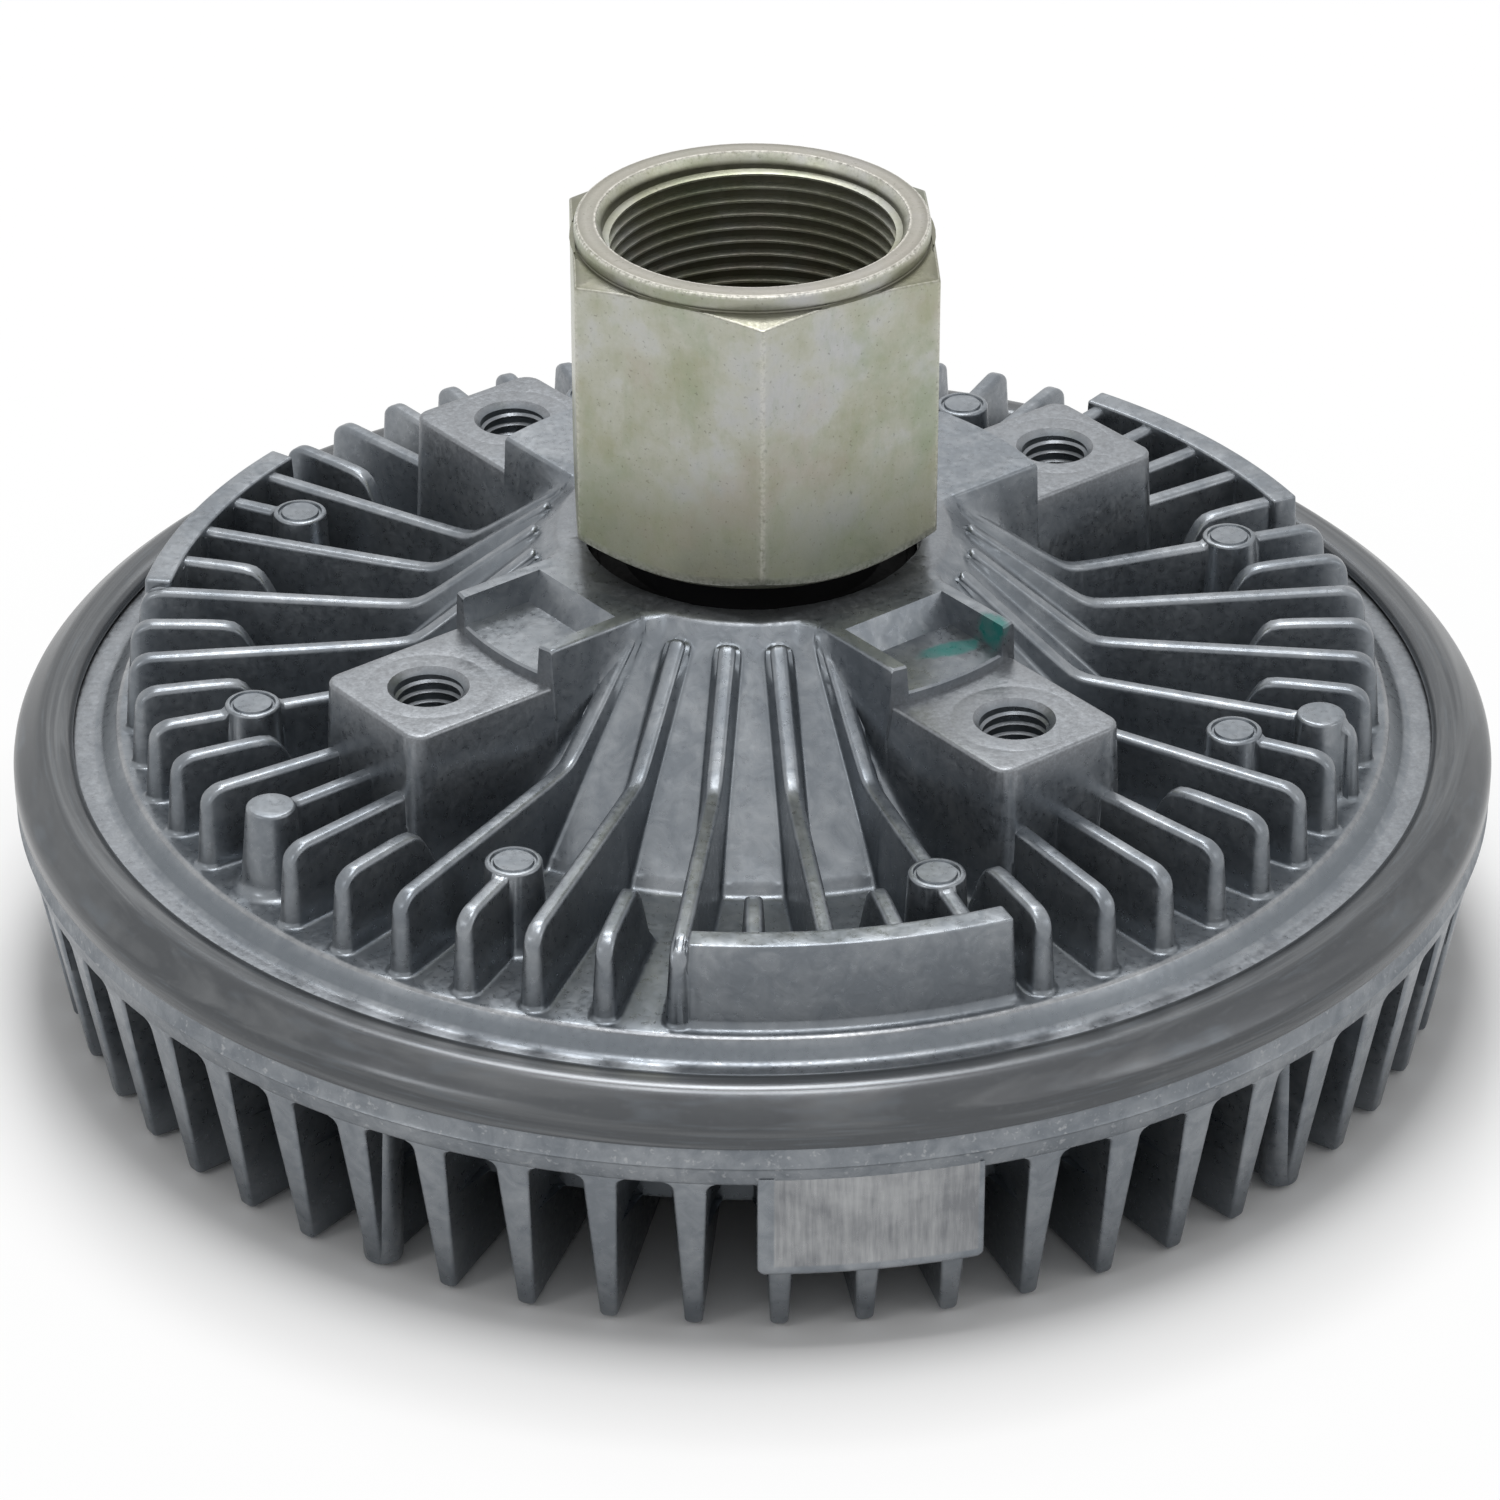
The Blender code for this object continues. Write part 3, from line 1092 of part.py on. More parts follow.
def build():
    clear_scene()
    cast = make_material("cast_aluminium", (0.36, 0.39, 0.42), 0.45, 0.9)
    zinc = make_material("yellow_zinc_steel", (0.52, 0.52, 0.40), 0.38, 0.9)
    steel = make_material("bearing_steel", (0.55, 0.56, 0.58), 0.25, 1.0)
    plate_steel = make_material("plate_steel", (0.42, 0.43, 0.44), 0.4, 1.0)
    rubber = make_material("black_rubber", (0.015, 0.015, 0.016), 0.65, 0.0)
    nylon = make_material("cage_nylon", (0.20, 0.17, 0.12), 0.5, 0.0)
    bimetal = make_material("bimetal_strip", (0.50, 0.42, 0.30), 0.4, 1.0)
    rear_housing(cast)
    front_cover(cast)
    rim_o_ring(rubber)
    shaft = input_shaft(zinc)
    inner_ring = bearing_rings(steel)[1]
    balls = bearing_balls(steel)
    cage = bearing_cage(nylon)
    bearing_seals(rubber)
    bearing_retaining_ring(plate_steel)
    disc = rotor(cast)
    pump_plate(plate_steel)
    pump_plate_screws(plate_steel)
    wipers(nylon)
    valve = [valve_shaft(plate_steel), valve_arm(plate_steel), valve_shaft_o_ring(rubber)]
    bimetal_coil(bimetal)
    axis_empty("shaft_axis", [shaft, inner_ring, disc])
    axis_empty("cage_axis", balls + [cage])
    axis_empty("valve_axis", valve)


build()
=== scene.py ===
from math import cos, pi, radians, sin, sqrt

import bmesh
import bpy
import numpy as np
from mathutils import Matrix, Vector
from mathutils.geometry import delaunay_2d_cdt


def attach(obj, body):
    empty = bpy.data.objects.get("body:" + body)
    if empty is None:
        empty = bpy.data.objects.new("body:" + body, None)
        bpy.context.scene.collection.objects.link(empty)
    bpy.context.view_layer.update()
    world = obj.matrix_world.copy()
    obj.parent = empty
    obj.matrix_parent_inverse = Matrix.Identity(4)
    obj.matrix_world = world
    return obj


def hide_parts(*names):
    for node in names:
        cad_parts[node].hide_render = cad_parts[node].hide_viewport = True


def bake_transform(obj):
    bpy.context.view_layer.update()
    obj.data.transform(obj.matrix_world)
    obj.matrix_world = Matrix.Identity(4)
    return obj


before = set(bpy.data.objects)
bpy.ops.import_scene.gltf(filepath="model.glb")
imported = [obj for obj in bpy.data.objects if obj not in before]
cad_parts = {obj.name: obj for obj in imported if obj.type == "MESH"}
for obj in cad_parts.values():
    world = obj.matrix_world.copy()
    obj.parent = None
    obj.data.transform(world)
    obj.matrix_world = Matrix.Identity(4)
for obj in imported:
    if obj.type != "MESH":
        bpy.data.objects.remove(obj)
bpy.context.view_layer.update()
mm = 0.001
print("frame loaded:", len(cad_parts), "nodes")


# Small helpers for meshes; every shape below is worked out in millimetres and scaled when it becomes a mesh

castMasks = ("turned", "shadeAndGrime", "band", "rough", "brushedAndEdgeHighlight")


def linkNew(name, data):
    obj = bpy.data.objects.new(name, data)
    bpy.context.scene.collection.objects.link(obj)
    return obj


def smoothFaces(mesh, smoothTo):
    mesh.shade_smooth()
    mesh.set_sharp_from_angle(angle=radians(smoothTo))


def addMask(obj, label, value):
    layer = obj.data.attributes.new(label, "FLOAT", "POINT")
    layer.data.foreach_set("value", np.full(len(obj.data.vertices), value, np.float32))


def faceOutwards(obj):
    bm = bmesh.new()
    bm.from_mesh(obj.data)
    bmesh.ops.remove_doubles(bm, verts=bm.verts, dist=0.002 * mm)
    bmesh.ops.recalc_face_normals(bm, faces=bm.faces)
    bm.to_mesh(obj.data)
    bm.free()
    return obj


def makeObject(name, points, faces, material, smoothTo=40, masks=None):
    mesh = bpy.data.meshes.new(name)
    mesh.from_pydata([(x * mm, y * mm, z * mm) for x, y, z in points], [], faces)
    mesh.validate()
    mesh.materials.append(material)
    smoothFaces(mesh, smoothTo)
    obj = linkNew(name, mesh)
    for label, values in (masks or {}).items():
        addMask(obj, label, values)
    return faceOutwards(obj)


def vertexArray(obj):
    co = np.zeros(len(obj.data.vertices) * 3, np.float32)
    obj.data.vertices.foreach_get("co", co)
    return co.reshape(-1, 3) / mm


def joinInto(target, others):
    # one casting is one object: adds the other meshes to the target's mesh
    bm = bmesh.new()
    for obj in (target, *others):
        for label in castMasks:
            if label not in obj.data.attributes:
                addMask(obj, label, 0.0)
        bm.from_mesh(obj.data)
    bm.to_mesh(target.data)
    bm.free()
    for other in others:
        bpy.data.objects.remove(other)


def polar(radius, angle, cx=0.0, cy=0.0):
    return cx + radius * cos(radians(angle)), cy + radius * sin(radians(angle))


def arcPoints(cx, cy, radius, start, end, steps):
    # points of an arc, angles in degrees
    return [polar(radius, start + (end - start) * k / steps, cx, cy) for k in range(steps + 1)]


def roundOff(distance, radius):
    # how far a rounded edge lies back, at a distance from the edge
    return radius - sqrt(max(radius ** 2 - max(radius - distance, 0.0) ** 2, 0.0))


def ringFaces(rings):
    # faces between each ring of point numbers and the next
    faces = []
    for low, high in zip(rings, rings[1:]):
        for k in range(len(low)):
            nxt = (k + 1) % len(low)
            face = list(dict.fromkeys((low[k], low[nxt], high[nxt], high[k])))
            if len(face) > 2:
                faces.append(face)
    return faces


def stackedBody(outlines, capped=True):
    # points and faces of a body from outlines with the same count of points, one above the other
    count = len(outlines[0])
    rings = [range(row * count, (row + 1) * count) for row in range(len(outlines))]
    caps = [list(rings[0]), list(rings[-1])] if capped else []
    return [point for outline in outlines for point in outline], ringFaces(rings) + caps


def turnedBody(profile, columns, closed=True):
    # points and faces of a (radius, height) profile turned about the axis
    points, rings = [], []
    for r, z in profile:
        start = len(points)
        if r < 1e-6:
            rings.append([start] * columns)
            points.append((0.0, 0.0, z))
        else:
            rings.append(range(start, start + columns))
            points += [(*polar(r, 360 * k / columns), z) for k in range(columns)]
    return points, ringFaces(rings + rings[:1] if closed else rings)


# Camera at the photograph's angle, solved from the clutch's own circles

cameraSettings = {
    "distance": 860.8,        # to the middle of the clutch, mm
    "elevation": 30.4,
    "azimuth": 6.3,           # degrees from -Y towards +X
    "targetHeight": 29.1,
    "focalPixels": 6194.5,
    "frameWidth": 1500,
    "axisColumn": 752.5,      # pixel column of the clutch's axis
    "sensorWidth": 36.0,
}


def makeCamera(s):
    data = bpy.data.cameras.new("photoCamera")
    data.sensor_width = s["sensorWidth"]
    data.lens = s["focalPixels"] / s["frameWidth"] * s["sensorWidth"]
    data.shift_x = -(s["axisColumn"] - s["frameWidth"] / 2) / s["frameWidth"]
    data.clip_start = 0.05
    data.clip_end = 20
    camera = linkNew("photoCamera", data)
    a, e = radians(s["azimuth"]), radians(s["elevation"])
    back = Vector((sin(a) * cos(e), -cos(a) * cos(e), sin(e)))
    camera.location = Vector((0, 0, s["targetHeight"] * mm)) + back * s["distance"] * mm
    camera.rotation_euler = (-back).to_track_quat("-Z", "Y").to_euler()
    bpy.context.scene.camera = camera


# Node trees

class Field:
    # an output in a node tree; sums and products with it add the nodes that work them out
    def __init__(self, tree, socket):
        self.tree = tree
        self.socket = socket

    def __add__(self, other):
        return calc("ADD", self, other)

    def __sub__(self, other):
        return calc("SUBTRACT", self, other)

    def __rsub__(self, other):
        return calc("SUBTRACT", other, self)

    def __mul__(self, other):
        return calc("MULTIPLY", self, other)

    def __truediv__(self, other):
        return calc("DIVIDE", self, other)


def addNode(tree, kind, values=None, out=0, **settings):
    # adds a node, sets or links its inputs, and hands back one of its outputs
    node = tree.nodes.new(kind)
    for key, value in settings.items():
        setattr(node, key, value)
    for key, value in (values or {}).items():
        if isinstance(value, Field):
            tree.links.new(value.socket, node.inputs[key])
        else:
            node.inputs[key].default_value = value
    return Field(tree, node.outputs[out]) if len(node.outputs) else None


def calc(operation, a, b=0.0):
    tree = a.tree if isinstance(a, Field) else b.tree
    return addNode(tree, "ShaderNodeMath", {0: a, 1: b}, operation=operation)


def vectorCalc(operation, values, out=0):
    return addNode(values[0].tree, "ShaderNodeVectorMath", values, out, operation=operation)


def noiseField(place, scale, detail=3, roughness=0.55, distortion=0.0):
    values = {"Vector": place, "Scale": scale, "Detail": detail, "Roughness": roughness,
              "Distortion": distortion}
    return addNode(place.tree, "ShaderNodeTexNoise", values)


def spread(value, low, high, toLow=0.0, toHigh=1.0):
    # lays the range from low to high over another one, clamped
    return addNode(value.tree, "ShaderNodeMapRange", {0: value, 1: low, 2: high, 3: toLow, 4: toHigh},
                   clamp=True)


def mapped(place, **settings):
    return addNode(place.tree, "ShaderNodeMapping", {"Vector": place, **settings})


def heightOf(place):
    return addNode(place.tree, "ShaderNodeSeparateXYZ", {0: place}, "Z")


def maskField(tree, name):
    return addNode(tree, "ShaderNodeAttribute", out="Fac", attribute_name=name)


def layColours(colour, layers):
    # blends colours over the first one; each layer is its share and its colour
    for share, own in layers:
        values = {0: share, 6: colour, 7: own}
        values.update({k: (*v, 1.0) for k, v in values.items() if isinstance(v, tuple)})
        colour = addNode(share.tree, "ShaderNodeMix", values, 2, data_type="RGBA", blend_type="MIX")
    return colour


def bumpOf(height, strength, distance, **normal):
    values = {"Height": height, "Strength": strength, "Distance": distance, **normal}
    return addNode(height.tree, "ShaderNodeBump", values)


def newMaterial(name):
    # an empty material, its tree and the place on the object
    material = bpy.data.materials.new(name)
    material.use_nodes = True
    tree = material.node_tree
    tree.nodes.clear()
    return material, tree, addNode(tree, "ShaderNodeTexCoord", out="Object")


def shadeWith(tree, values):
    shader = addNode(tree, "ShaderNodeBsdfPrincipled", values)
    addNode(tree, "ShaderNodeOutputMaterial", {0: shader})


# Materials

castLook = {
    "skin": (0.178, 0.196, 0.217),       # dull blue-grey of the as-cast face
    "pale": (0.290, 0.308, 0.328),       # brighter patches of the skin
    "shadeAndGrime": (0.142, 0.160, 0.178),       # painted shade low down between the ribs, in holes, thread roots and among the fins, with some grime
    "turned": (0.196, 0.203, 0.215),     # turned and faced surfaces
    "band": (0.088, 0.093, 0.099),       # rolled band of the rim, darkened as a painted dark reflection
    # paler streaks on the band: painted streak reflections
    "bandStreakReflection": (0.150, 0.156, 0.162),
    # brushed facet of the balance pad; the same colour is a painted highlight line round the housing's outer
    # edge
    "brushedAndEdgeHighlight": (0.390, 0.398, 0.405),
    "spark": (0.560, 0.570, 0.580),      # bright grains: painted glints, most on the rough bead
    "paint": (0.004, 0.160, 0.145),      # dabs of teal marking paint
    # each dab: place in millimetres, its turn about Z in degrees and its half sizes
    "dabs": (((29.2, -23.8, 60.4), 31.0, (4.6, 1.7, 1.4)), ((34.3, -22.6, 63.4), 45.0, (1.7, 2.5, 3.0))),
    "grainScale": 1100.0,
    "metallic": 0.82,
    "paintLoss": 0.67,                   # share of the metallic look that paint takes away
    "bandRoughness": 0.27,
    "bump": (0.4, 0.00012),
}


def ringVector(place):
    # coordinates that hardly change along a circle round the axis, for turned and rolled marks
    flat = vectorCalc("MULTIPLY", {0: place, 1: (1, 1, 0)})
    along = vectorCalc("SCALE", {0: vectorCalc("NORMALIZE", {0: flat}), "Scale": 0.012})
    across = (vectorCalc("LENGTH", {0: flat}, "Value") + heightOf(place)) * 3.5
    return vectorCalc("ADD", {0: along, 1: addNode(place.tree, "ShaderNodeCombineXYZ", {"Z": across})})


def paintDab(place, centre, turn, size):
    # share of paint inside a ragged ellipsoid
    offset = vectorCalc("SUBTRACT", {0: place, 1: [c * mm for c in centre]})
    turned = addNode(place.tree, "ShaderNodeVectorRotate", {"Vector": offset, "Angle": -radians(turn)},
                     rotation_type="Z_AXIS")
    scaled = vectorCalc("DIVIDE", {0: turned, 1: [c * mm for c in size]})
    ragged = vectorCalc("LENGTH", {0: scaled}, "Value") + noiseField(place, 420, 3, 0.6, 0.6)
    return spread(ragged, 1.68, 1.26)


def castMaterial(s):
    material, tree, place = newMaterial("castAluminium")
    turned, shadeAndGrime, band, rough, brushedAndEdgeHighlight = (maskField(tree, name) for name in castMasks)
    patches = noiseField(place, 62, 4, 0.62, 0.5)
    flow = noiseField(place, 300, 4, 0.62, 0.9)
    grain = noiseField(place, s["grainScale"], 2, 0.6)
    fine = noiseField(place, s["grainScale"] * 2.2, 2, 0.6)
    rings = noiseField(ringVector(place), 900, 2, 0.6)
    smear = noiseField(ringVector(place), 130, 4, 0.6, 1.2)
    strokes = noiseField(mapped(place, Scale=(1.0, 1.0, 0.09)), 1300, 3, 0.65)
    # painted shade, with some grime, goes over the skin where the mask of recesses is set
    skin = layColours(s["skin"], (
        (spread(patches * 0.55 + flow * 0.45, 0.42, 0.64), s["pale"]),
        (shadeAndGrime * spread(flow, 0.3, 0.7, 0.5, 1.0), s["shadeAndGrime"])))
    turnedSkin = layColours(s["turned"], (
        (spread(fine, 0.40, 0.66, 0.0, 0.7), s["pale"]), (spread(patches, 0.56, 0.70, 0.0, 0.5), s["skin"])))
    # the band's dark colour and its paler streaks are painted reflection
    bandPaintedReflection = layColours(s["band"], (
        (spread(smear, 0.47, 0.66), s["bandStreakReflection"]), (spread(rings, 0.55, 0.75, 0.0, 0.5), s["shadeAndGrime"])))
    # brushed marks, which on the housing's outer edge are a painted highlight line
    wiped = spread(strokes * 0.35 + patches * 0.65, 0.40, 0.62)
    brushedAndHighlightSkin = layColours(s["turned"], ((wiped, s["brushedAndEdgeHighlight"]),))
    paint = calc("MAXIMUM", *(paintDab(place, *dab) for dab in s["dabs"]))
    colour = layColours(skin, (
        (turned, turnedSkin), (band, bandPaintedReflection), (brushedAndEdgeHighlight, brushedAndHighlightSkin),
        # painted glints: bright grains, most on the rough bead
        (spread(grain, 0.60, 0.74) * (rough + 0.08) * 0.4, s["spark"]),
        (paint * spread(flow, 0.30, 0.62, 0.55, 0.96), s["paint"])))
    roughness = spread(grain, 0.3, 0.7, 0.25, 0.42) + turned * 0.04
    roughness = roughness + band * (s["bandRoughness"] - roughness) + rough * 0.10
    heavy = (rough + turned * 0.6) * 1.2 + 0.12
    height = (grain * heavy + flow * (0.8 - turned)) * (1.0 - band * 0.95)
    height = height + rings * 0.05 * calc("MAXIMUM", turned, band) + strokes * 0.25 * brushedAndEdgeHighlight
    shadeWith(tree, {"Base Color": colour, "Roughness": roughness,
                     "Metallic": s["metallic"] - paint * s["paintLoss"],
                     "Normal": bumpOf(height, *s["bump"])})
    return material


zincLook = {
    "olive": (0.400, 0.405, 0.295),
    "pale": (0.515, 0.520, 0.460),
    "green": (0.330, 0.385, 0.270),
    "pink": (0.470, 0.390, 0.350),
    "lilac": (0.520, 0.525, 0.540),
    "rubbedAndHighlight": (0.820, 0.800, 0.740),       # rubbed edges, with painted highlight on the thread crests
    "lowDarker": (0.250, 0.255, 0.165),       # darker low on the flats
    "faced": (0.245, 0.232, 0.212),      # end ring of the nut
    # pits and chips, and painted shade in the nut's creases, socket and on the shoulder
    "pitAndShade": (0.075, 0.070, 0.048),
    "lowDarkerHeights": (0.086, 0.069),       # where the darker tone starts and is full, metres
    "metallic": 0.85,
}


def zincMaterial(s):
    material, tree, place = newMaterial("yellowZinc")
    edge, groove, faced = (maskField(tree, name) for name in ("edge", "groove", "faced"))
    shifted = mapped(place, Location=(0.31, 0.17, 0.05))
    clouds = noiseField(place, 70, 5, 0.6)
    tints = noiseField(shifted, 58, 5, 0.62)
    wipes = noiseField(mapped(place, Scale=(1.0, 1.0, 0.4)), 420, 4, 0.7)
    fine = noiseField(place, 1900, 3, 0.65)
    specks = noiseField(shifted, 1900, 2, 0.55)
    chips = edge * spread(specks, 0.50, 0.58) * 0.35
    colour = layColours(s["olive"], (
        (spread(clouds, 0.42, 0.60), s["pale"]),
        (spread(tints, 0.53, 0.66, 0.0, 0.65), s["green"]),
        (spread(tints, 0.44, 0.34, 0.0, 0.35), s["pink"]),
        (spread(clouds, 0.56, 0.68, 0.0, 0.75), s["lilac"]),
        (spread(wipes, 0.45, 0.75, 0.0, 0.35), s["pale"]),
        (spread(wipes, 0.48, 0.28, 0.0, 0.35), s["green"]),
        (spread(heightOf(place), *s["lowDarkerHeights"]) * spread(clouds, 0.36, 0.60, 0.25, 0.75), s["lowDarker"]),
        (faced * 0.85, s["faced"]),
        # rubbed edges, and painted highlight on the socket thread's crests
        (edge * spread(fine, 0.34, 0.56) * 0.8, s["rubbedAndHighlight"]),
        (calc("MAXIMUM", spread(specks, 0.64, 0.74, 0.0, 0.38), chips), s["pitAndShade"]),
        # painted shade in creases, the socket and on the shoulder
        (groove * 0.85, s["pitAndShade"])))
    normal = bumpOf(wipes + edge * fine, 0.3, 0.0001)
    shadeWith(tree, {"Base Color": colour, "Roughness": spread(fine, 0.3, 0.7, 0.30, 0.46) + faced * 0.12,
                     "Metallic": s["metallic"], "Normal": bumpOf(fine, 0.35, 0.00004, Normal=normal)})
    return material


plainLooks = {
    # colour, metallic, roughness, scale of the grain, its bump and the specular level
    "groundSteel": ((0.55, 0.56, 0.58), 1.0, 0.22, 900, 0.05, 0.5),
    "rolledSteel": ((0.40, 0.41, 0.42), 1.0, 0.38, 700, 0.12, 0.5),
    "blackRubber": ((0.008, 0.008, 0.009), 0.0, 0.6, 1200, 0.3, 0.15),
    "cageNylon": ((0.16, 0.13, 0.09), 0.0, 0.5, 1200, 0.15, 0.5),
    "bimetalStrip": ((0.46, 0.38, 0.27), 1.0, 0.34, 500, 0.12, 0.5),
}


def plainMaterial(name, colour, metallic, roughness, grainScale, bump, specular):
    material, tree, place = newMaterial(name)
    clouds = noiseField(place, 90, 4, 0.6, 0.4)
    grain = noiseField(place, grainScale, 3, 0.6)
    darker = tuple(c * 0.72 for c in colour)
    shadeWith(tree, {"Base Color": layColours(colour, ((spread(clouds, 0.35, 0.65), darker),)),
                     "Roughness": spread(grain, 0.3, 0.7, roughness - 0.05, roughness + 0.08),
                     "Metallic": metallic, "Specular IOR Level": specular,
                     "Normal": bumpOf(grain, bump, 0.0001)})
    return material


castAluminium = castMaterial(castLook)
yellowZinc = zincMaterial(zincLook)
looks = {name: plainMaterial(name, *values) for name, values in plainLooks.items()}
print("materials made")


# Cast relief: a surface over the plane whose height follows ribs, posts, walls and bosses

def boxDistance(feature, x, y):
    # signed distance in plan to a rounded bar, and the place along and across it
    angle = radians(feature["angle"])
    if feature.get("bent"):
        turn = (np.arctan2(y, x) - angle + pi) % (2 * pi) - pi
        along, across = turn * feature["bent"], np.hypot(x, y) - feature["bent"]
    else:
        along = x * cos(angle) + y * sin(angle)
        across = y * cos(angle) - x * sin(angle)
    corner = feature["corner"]
    middle, reach = (feature["inner"] + feature["outer"]) / 2, (feature["outer"] - feature["inner"]) / 2
    overX = np.abs(along - middle) - reach + corner
    overY = np.abs(across) - feature["half"] + corner
    outside = np.hypot(np.maximum(overX, 0), np.maximum(overY, 0))
    return outside + np.minimum(np.maximum(overX, overY), 0) - corner, along, across


def inPlan(feature, line):
    # lays points given along and across a feature in the plane of the casting
    angle, bent = radians(feature["angle"]), feature.get("bent")
    if bent:
        return [((bent + v) * cos(angle + u / bent), (bent + v) * sin(angle + u / bent)) for u, v in line]
    return [(u * cos(angle) - v * sin(angle), u * sin(angle) + v * cos(angle)) for u, v in line]


def boxOutline(feature, offset, stations):
    # closed outline at an offset from the bar's top edge, with points at the stations along it
    low, high = feature["inner"] - offset, feature["outer"] + offset
    half = feature["half"] + offset
    corner = min(feature["corner"] + offset, half, (high - low) / 2)
    inside = [u for u in stations if low + corner + 0.05 < u < high - corner - 0.05]
    left, right, side = low + corner, high - corner, half - corner
    line = arcPoints(right, side, corner, 0, 90, 4) + [(u, half) for u in reversed(inside)]
    line += arcPoints(left, side, corner, 90, 180, 4) + arcPoints(left, -side, corner, 180, 270, 4)
    line += [(u, -half) for u in inside] + arcPoints(right, -side, corner, -90, 0, 4)
    return inPlan(feature, line)


def openOutline(feature, offset, stations):
    # the two sides and the outer end of a block that runs into the hub
    high, half = feature["outer"] + offset, feature["half"] + offset
    corner = min(feature["corner"] + offset, half)
    inside = [u for u in stations if u < high - corner - 0.05]
    right, side = high - corner, half - corner
    line = [(u, -half) for u in inside] + arcPoints(right, -side, corner, -90, 0, 6)
    line += [(high, share * side) for share in (-0.6, -0.2, 0.2, 0.6)]
    line += arcPoints(right, side, corner, 0, 90, 6) + [(u, half) for u in reversed(inside)]
    return inPlan(feature, line)


def wallRise(height, distance, crown, draft, root):
    # height of a drafted wall with rounded crown and root, at a distance from its top edge
    share = np.clip(height / (crown + root), 0, 1)
    crownFall = crown - np.sqrt(np.clip(crown ** 2 - np.clip(distance + crown, 0, crown) ** 2, 0, None))
    rootRise = root - np.sqrt(np.clip(root ** 2 - np.clip(draft + root - distance, 0, root) ** 2, 0, None))
    top = height - share * crown
    wall = top + (share * root - top) * np.clip(distance / draft, 0, 1)
    return np.where(distance <= 0, height - share * crownFall,
                    np.where(distance <= draft, wall, share * rootRise))


def planOf(feature):
    # offsets at which outlines are laid, so that edges of the mesh follow crown, wall and root
    crown, draft, root = feature["shape"]
    wall = [draft * share for share in feature.get("wallLines", ())]
    rootLines = [draft + share * root for share in (0.0, 0.18, 0.5, 1.0)]
    return [-crown * share for share in (1.0, 0.62, 0.28, 0.07, 0.0)] + wall + rootLines


class PlanLines:
    # points and edges gathered in the plane for the triangulation
    def __init__(self):
        self.points = []
        self.edges = []

    def add(self, line, closed=True):
        start, count = len(self.points), len(line)
        self.points += [Vector(p) for p in line]
        self.edges += [(start + k, start + k + 1) for k in range(count - 1)]
        if closed:
            self.edges.append((start + count - 1, start))

    def addCircles(self, radii, steps, centre=(0.0, 0.0)):
        turns = [2 * pi * k / steps for k in range(steps)]
        for r in radii:
            self.add([(centre[0] + r * cos(t), centre[1] + r * sin(t)) for t in turns])


def triangulate(lines, innerRadius, outerRadius):
    points, edges, faces = delaunay_2d_cdt(lines.points, lines.edges, [], 0, 1e-4, False)[:3]
    flat = np.array([(p[0], p[1]) for p in points])
    return flat, [list(face) for face in faces
                  if innerRadius < np.hypot(*flat[list(face)].mean(0)) < outerRadius]


def closeUnderside(points, faces, edge, profile):
    # turned inside of the casting, joined to the relief's outer and inner edge
    flat = np.array(points)
    radius = np.hypot(flat[:, 0], flat[:, 1])
    turn = np.degrees(np.arctan2(flat[:, 1], flat[:, 0]))
    inner, outer = (sorted(np.flatnonzero(abs(radius - target) < 0.01).tolist(), key=lambda i: turn[i] % 360)
                    for target in edge)
    rings = [outer]
    for r, z in profile:
        rings.append(range(len(points), len(points) + len(outer)))
        points += [(*polar(r, turn[i]), z) for i in outer]
    return points, faces + ringFaces(rings + [inner])


# Rear housing

housingSettings = {
    "ribCount": 56,
    "sectorRibs": 14,
    "ribTop": 49.8,
    "ribHalf": 1.2,
    "ribShape": (0.75, 0.55, 0.75),       # crown radius, draft run, root radius
    "ribOuter": 85.6,
    "outerCorner": 3.4,
    "innerCorner": 2.2,
    "endSlope": 2.1,                      # rise of a short rib's inner end for each millimetre
    "ribFloor": 38.4,
    "kneeRadius": 46.5,
    "kneeSlope": 0.800,
    "hubEnd": 29.4,
    "shortInner": 64.9,
    "bossEnd": 62.0,                      # where ribs start inside a fan boss
    "postTop": 50.3,
    "ejectorPlaces": (-3, 4),             # ribs of each sector that carry an ejector post
    "ejectorCircle": 71.0,
    "ejectorRadius": 3.75,
    "ejectorShape": (0.4, 0.55, 1.2),
    "ejectorMark": (2.55, 2.7, 2.95, 3.1),
    "markDepth": 0.35,
    "plainPlaces": (-7, 12),              # ribs of the whole circle that carry a plain post
    "plainCircle": 80.4,
    "plainRadius": 3.3,
    "plainShape": (0.45, 0.9, 1.6),
    "wallAngles": (-75.0, 45.0, 165.0),
    "wallSpan": 28.5,
    "wallMiddle": 83.1,
    "wallHalf": 1.9,
    "wallShape": (0.35, 0.6, 1.2),
    "bossAngles": (-135.0, -45.0, 45.0, 135.0),
    "bossHalf": 10.5,
    "bossOuter": 64.6,
    "bossCorner": 2.6,
    "bossShape": (0.5, 0.9, 1.4),
    "padHeight": 58.9,
    "hubTop": 64.4,
    "pilotRadius": 43.5,
    "boltCircle": 54.7,
    "boltMouth": 5.45,
    "boltWall": 4.62,
    "boltBevel": 1.0,                     # fall of the mouth for each millimetre
    "toolRing": 8.4,                      # faint ring that the facing cutter left
    "boltFloor": 44.2,
    "pocketHalf": 8.0,
    "pocketFloor": 60.4,
    "pocketStart": 30.0,
    "pocketRamp": 2.2,
    "pocketEdge": 0.35,
    "edge": (23.1, 87.6),
    "columns": 280,
    # places along the ribs and the bosses that get points of the mesh
    "ribStations": (29.7, 30.05, 30.5, 31.2, 32.6, 34.5, 37, 40, 42, 43.5, 44.6, 45.6, 46.5, 47.5, 48.8, 50.5,
                    53, 56, 60, 63, 65, 65.6, 66.2, 66.8, 67.4, 68.0, 68.7, 69.4, 70.2, 71.2, 72.5, 74.5, 77,
                    79, 81, 82.1, 82.6, 83.1, 83.6, 84.05, 84.5, 84.9, 85.25),
    "bossStations": (27.4, 28.4, 29.4, 30.6, 32.2, *np.arange(33.5, 62.0, 1.5)),
}
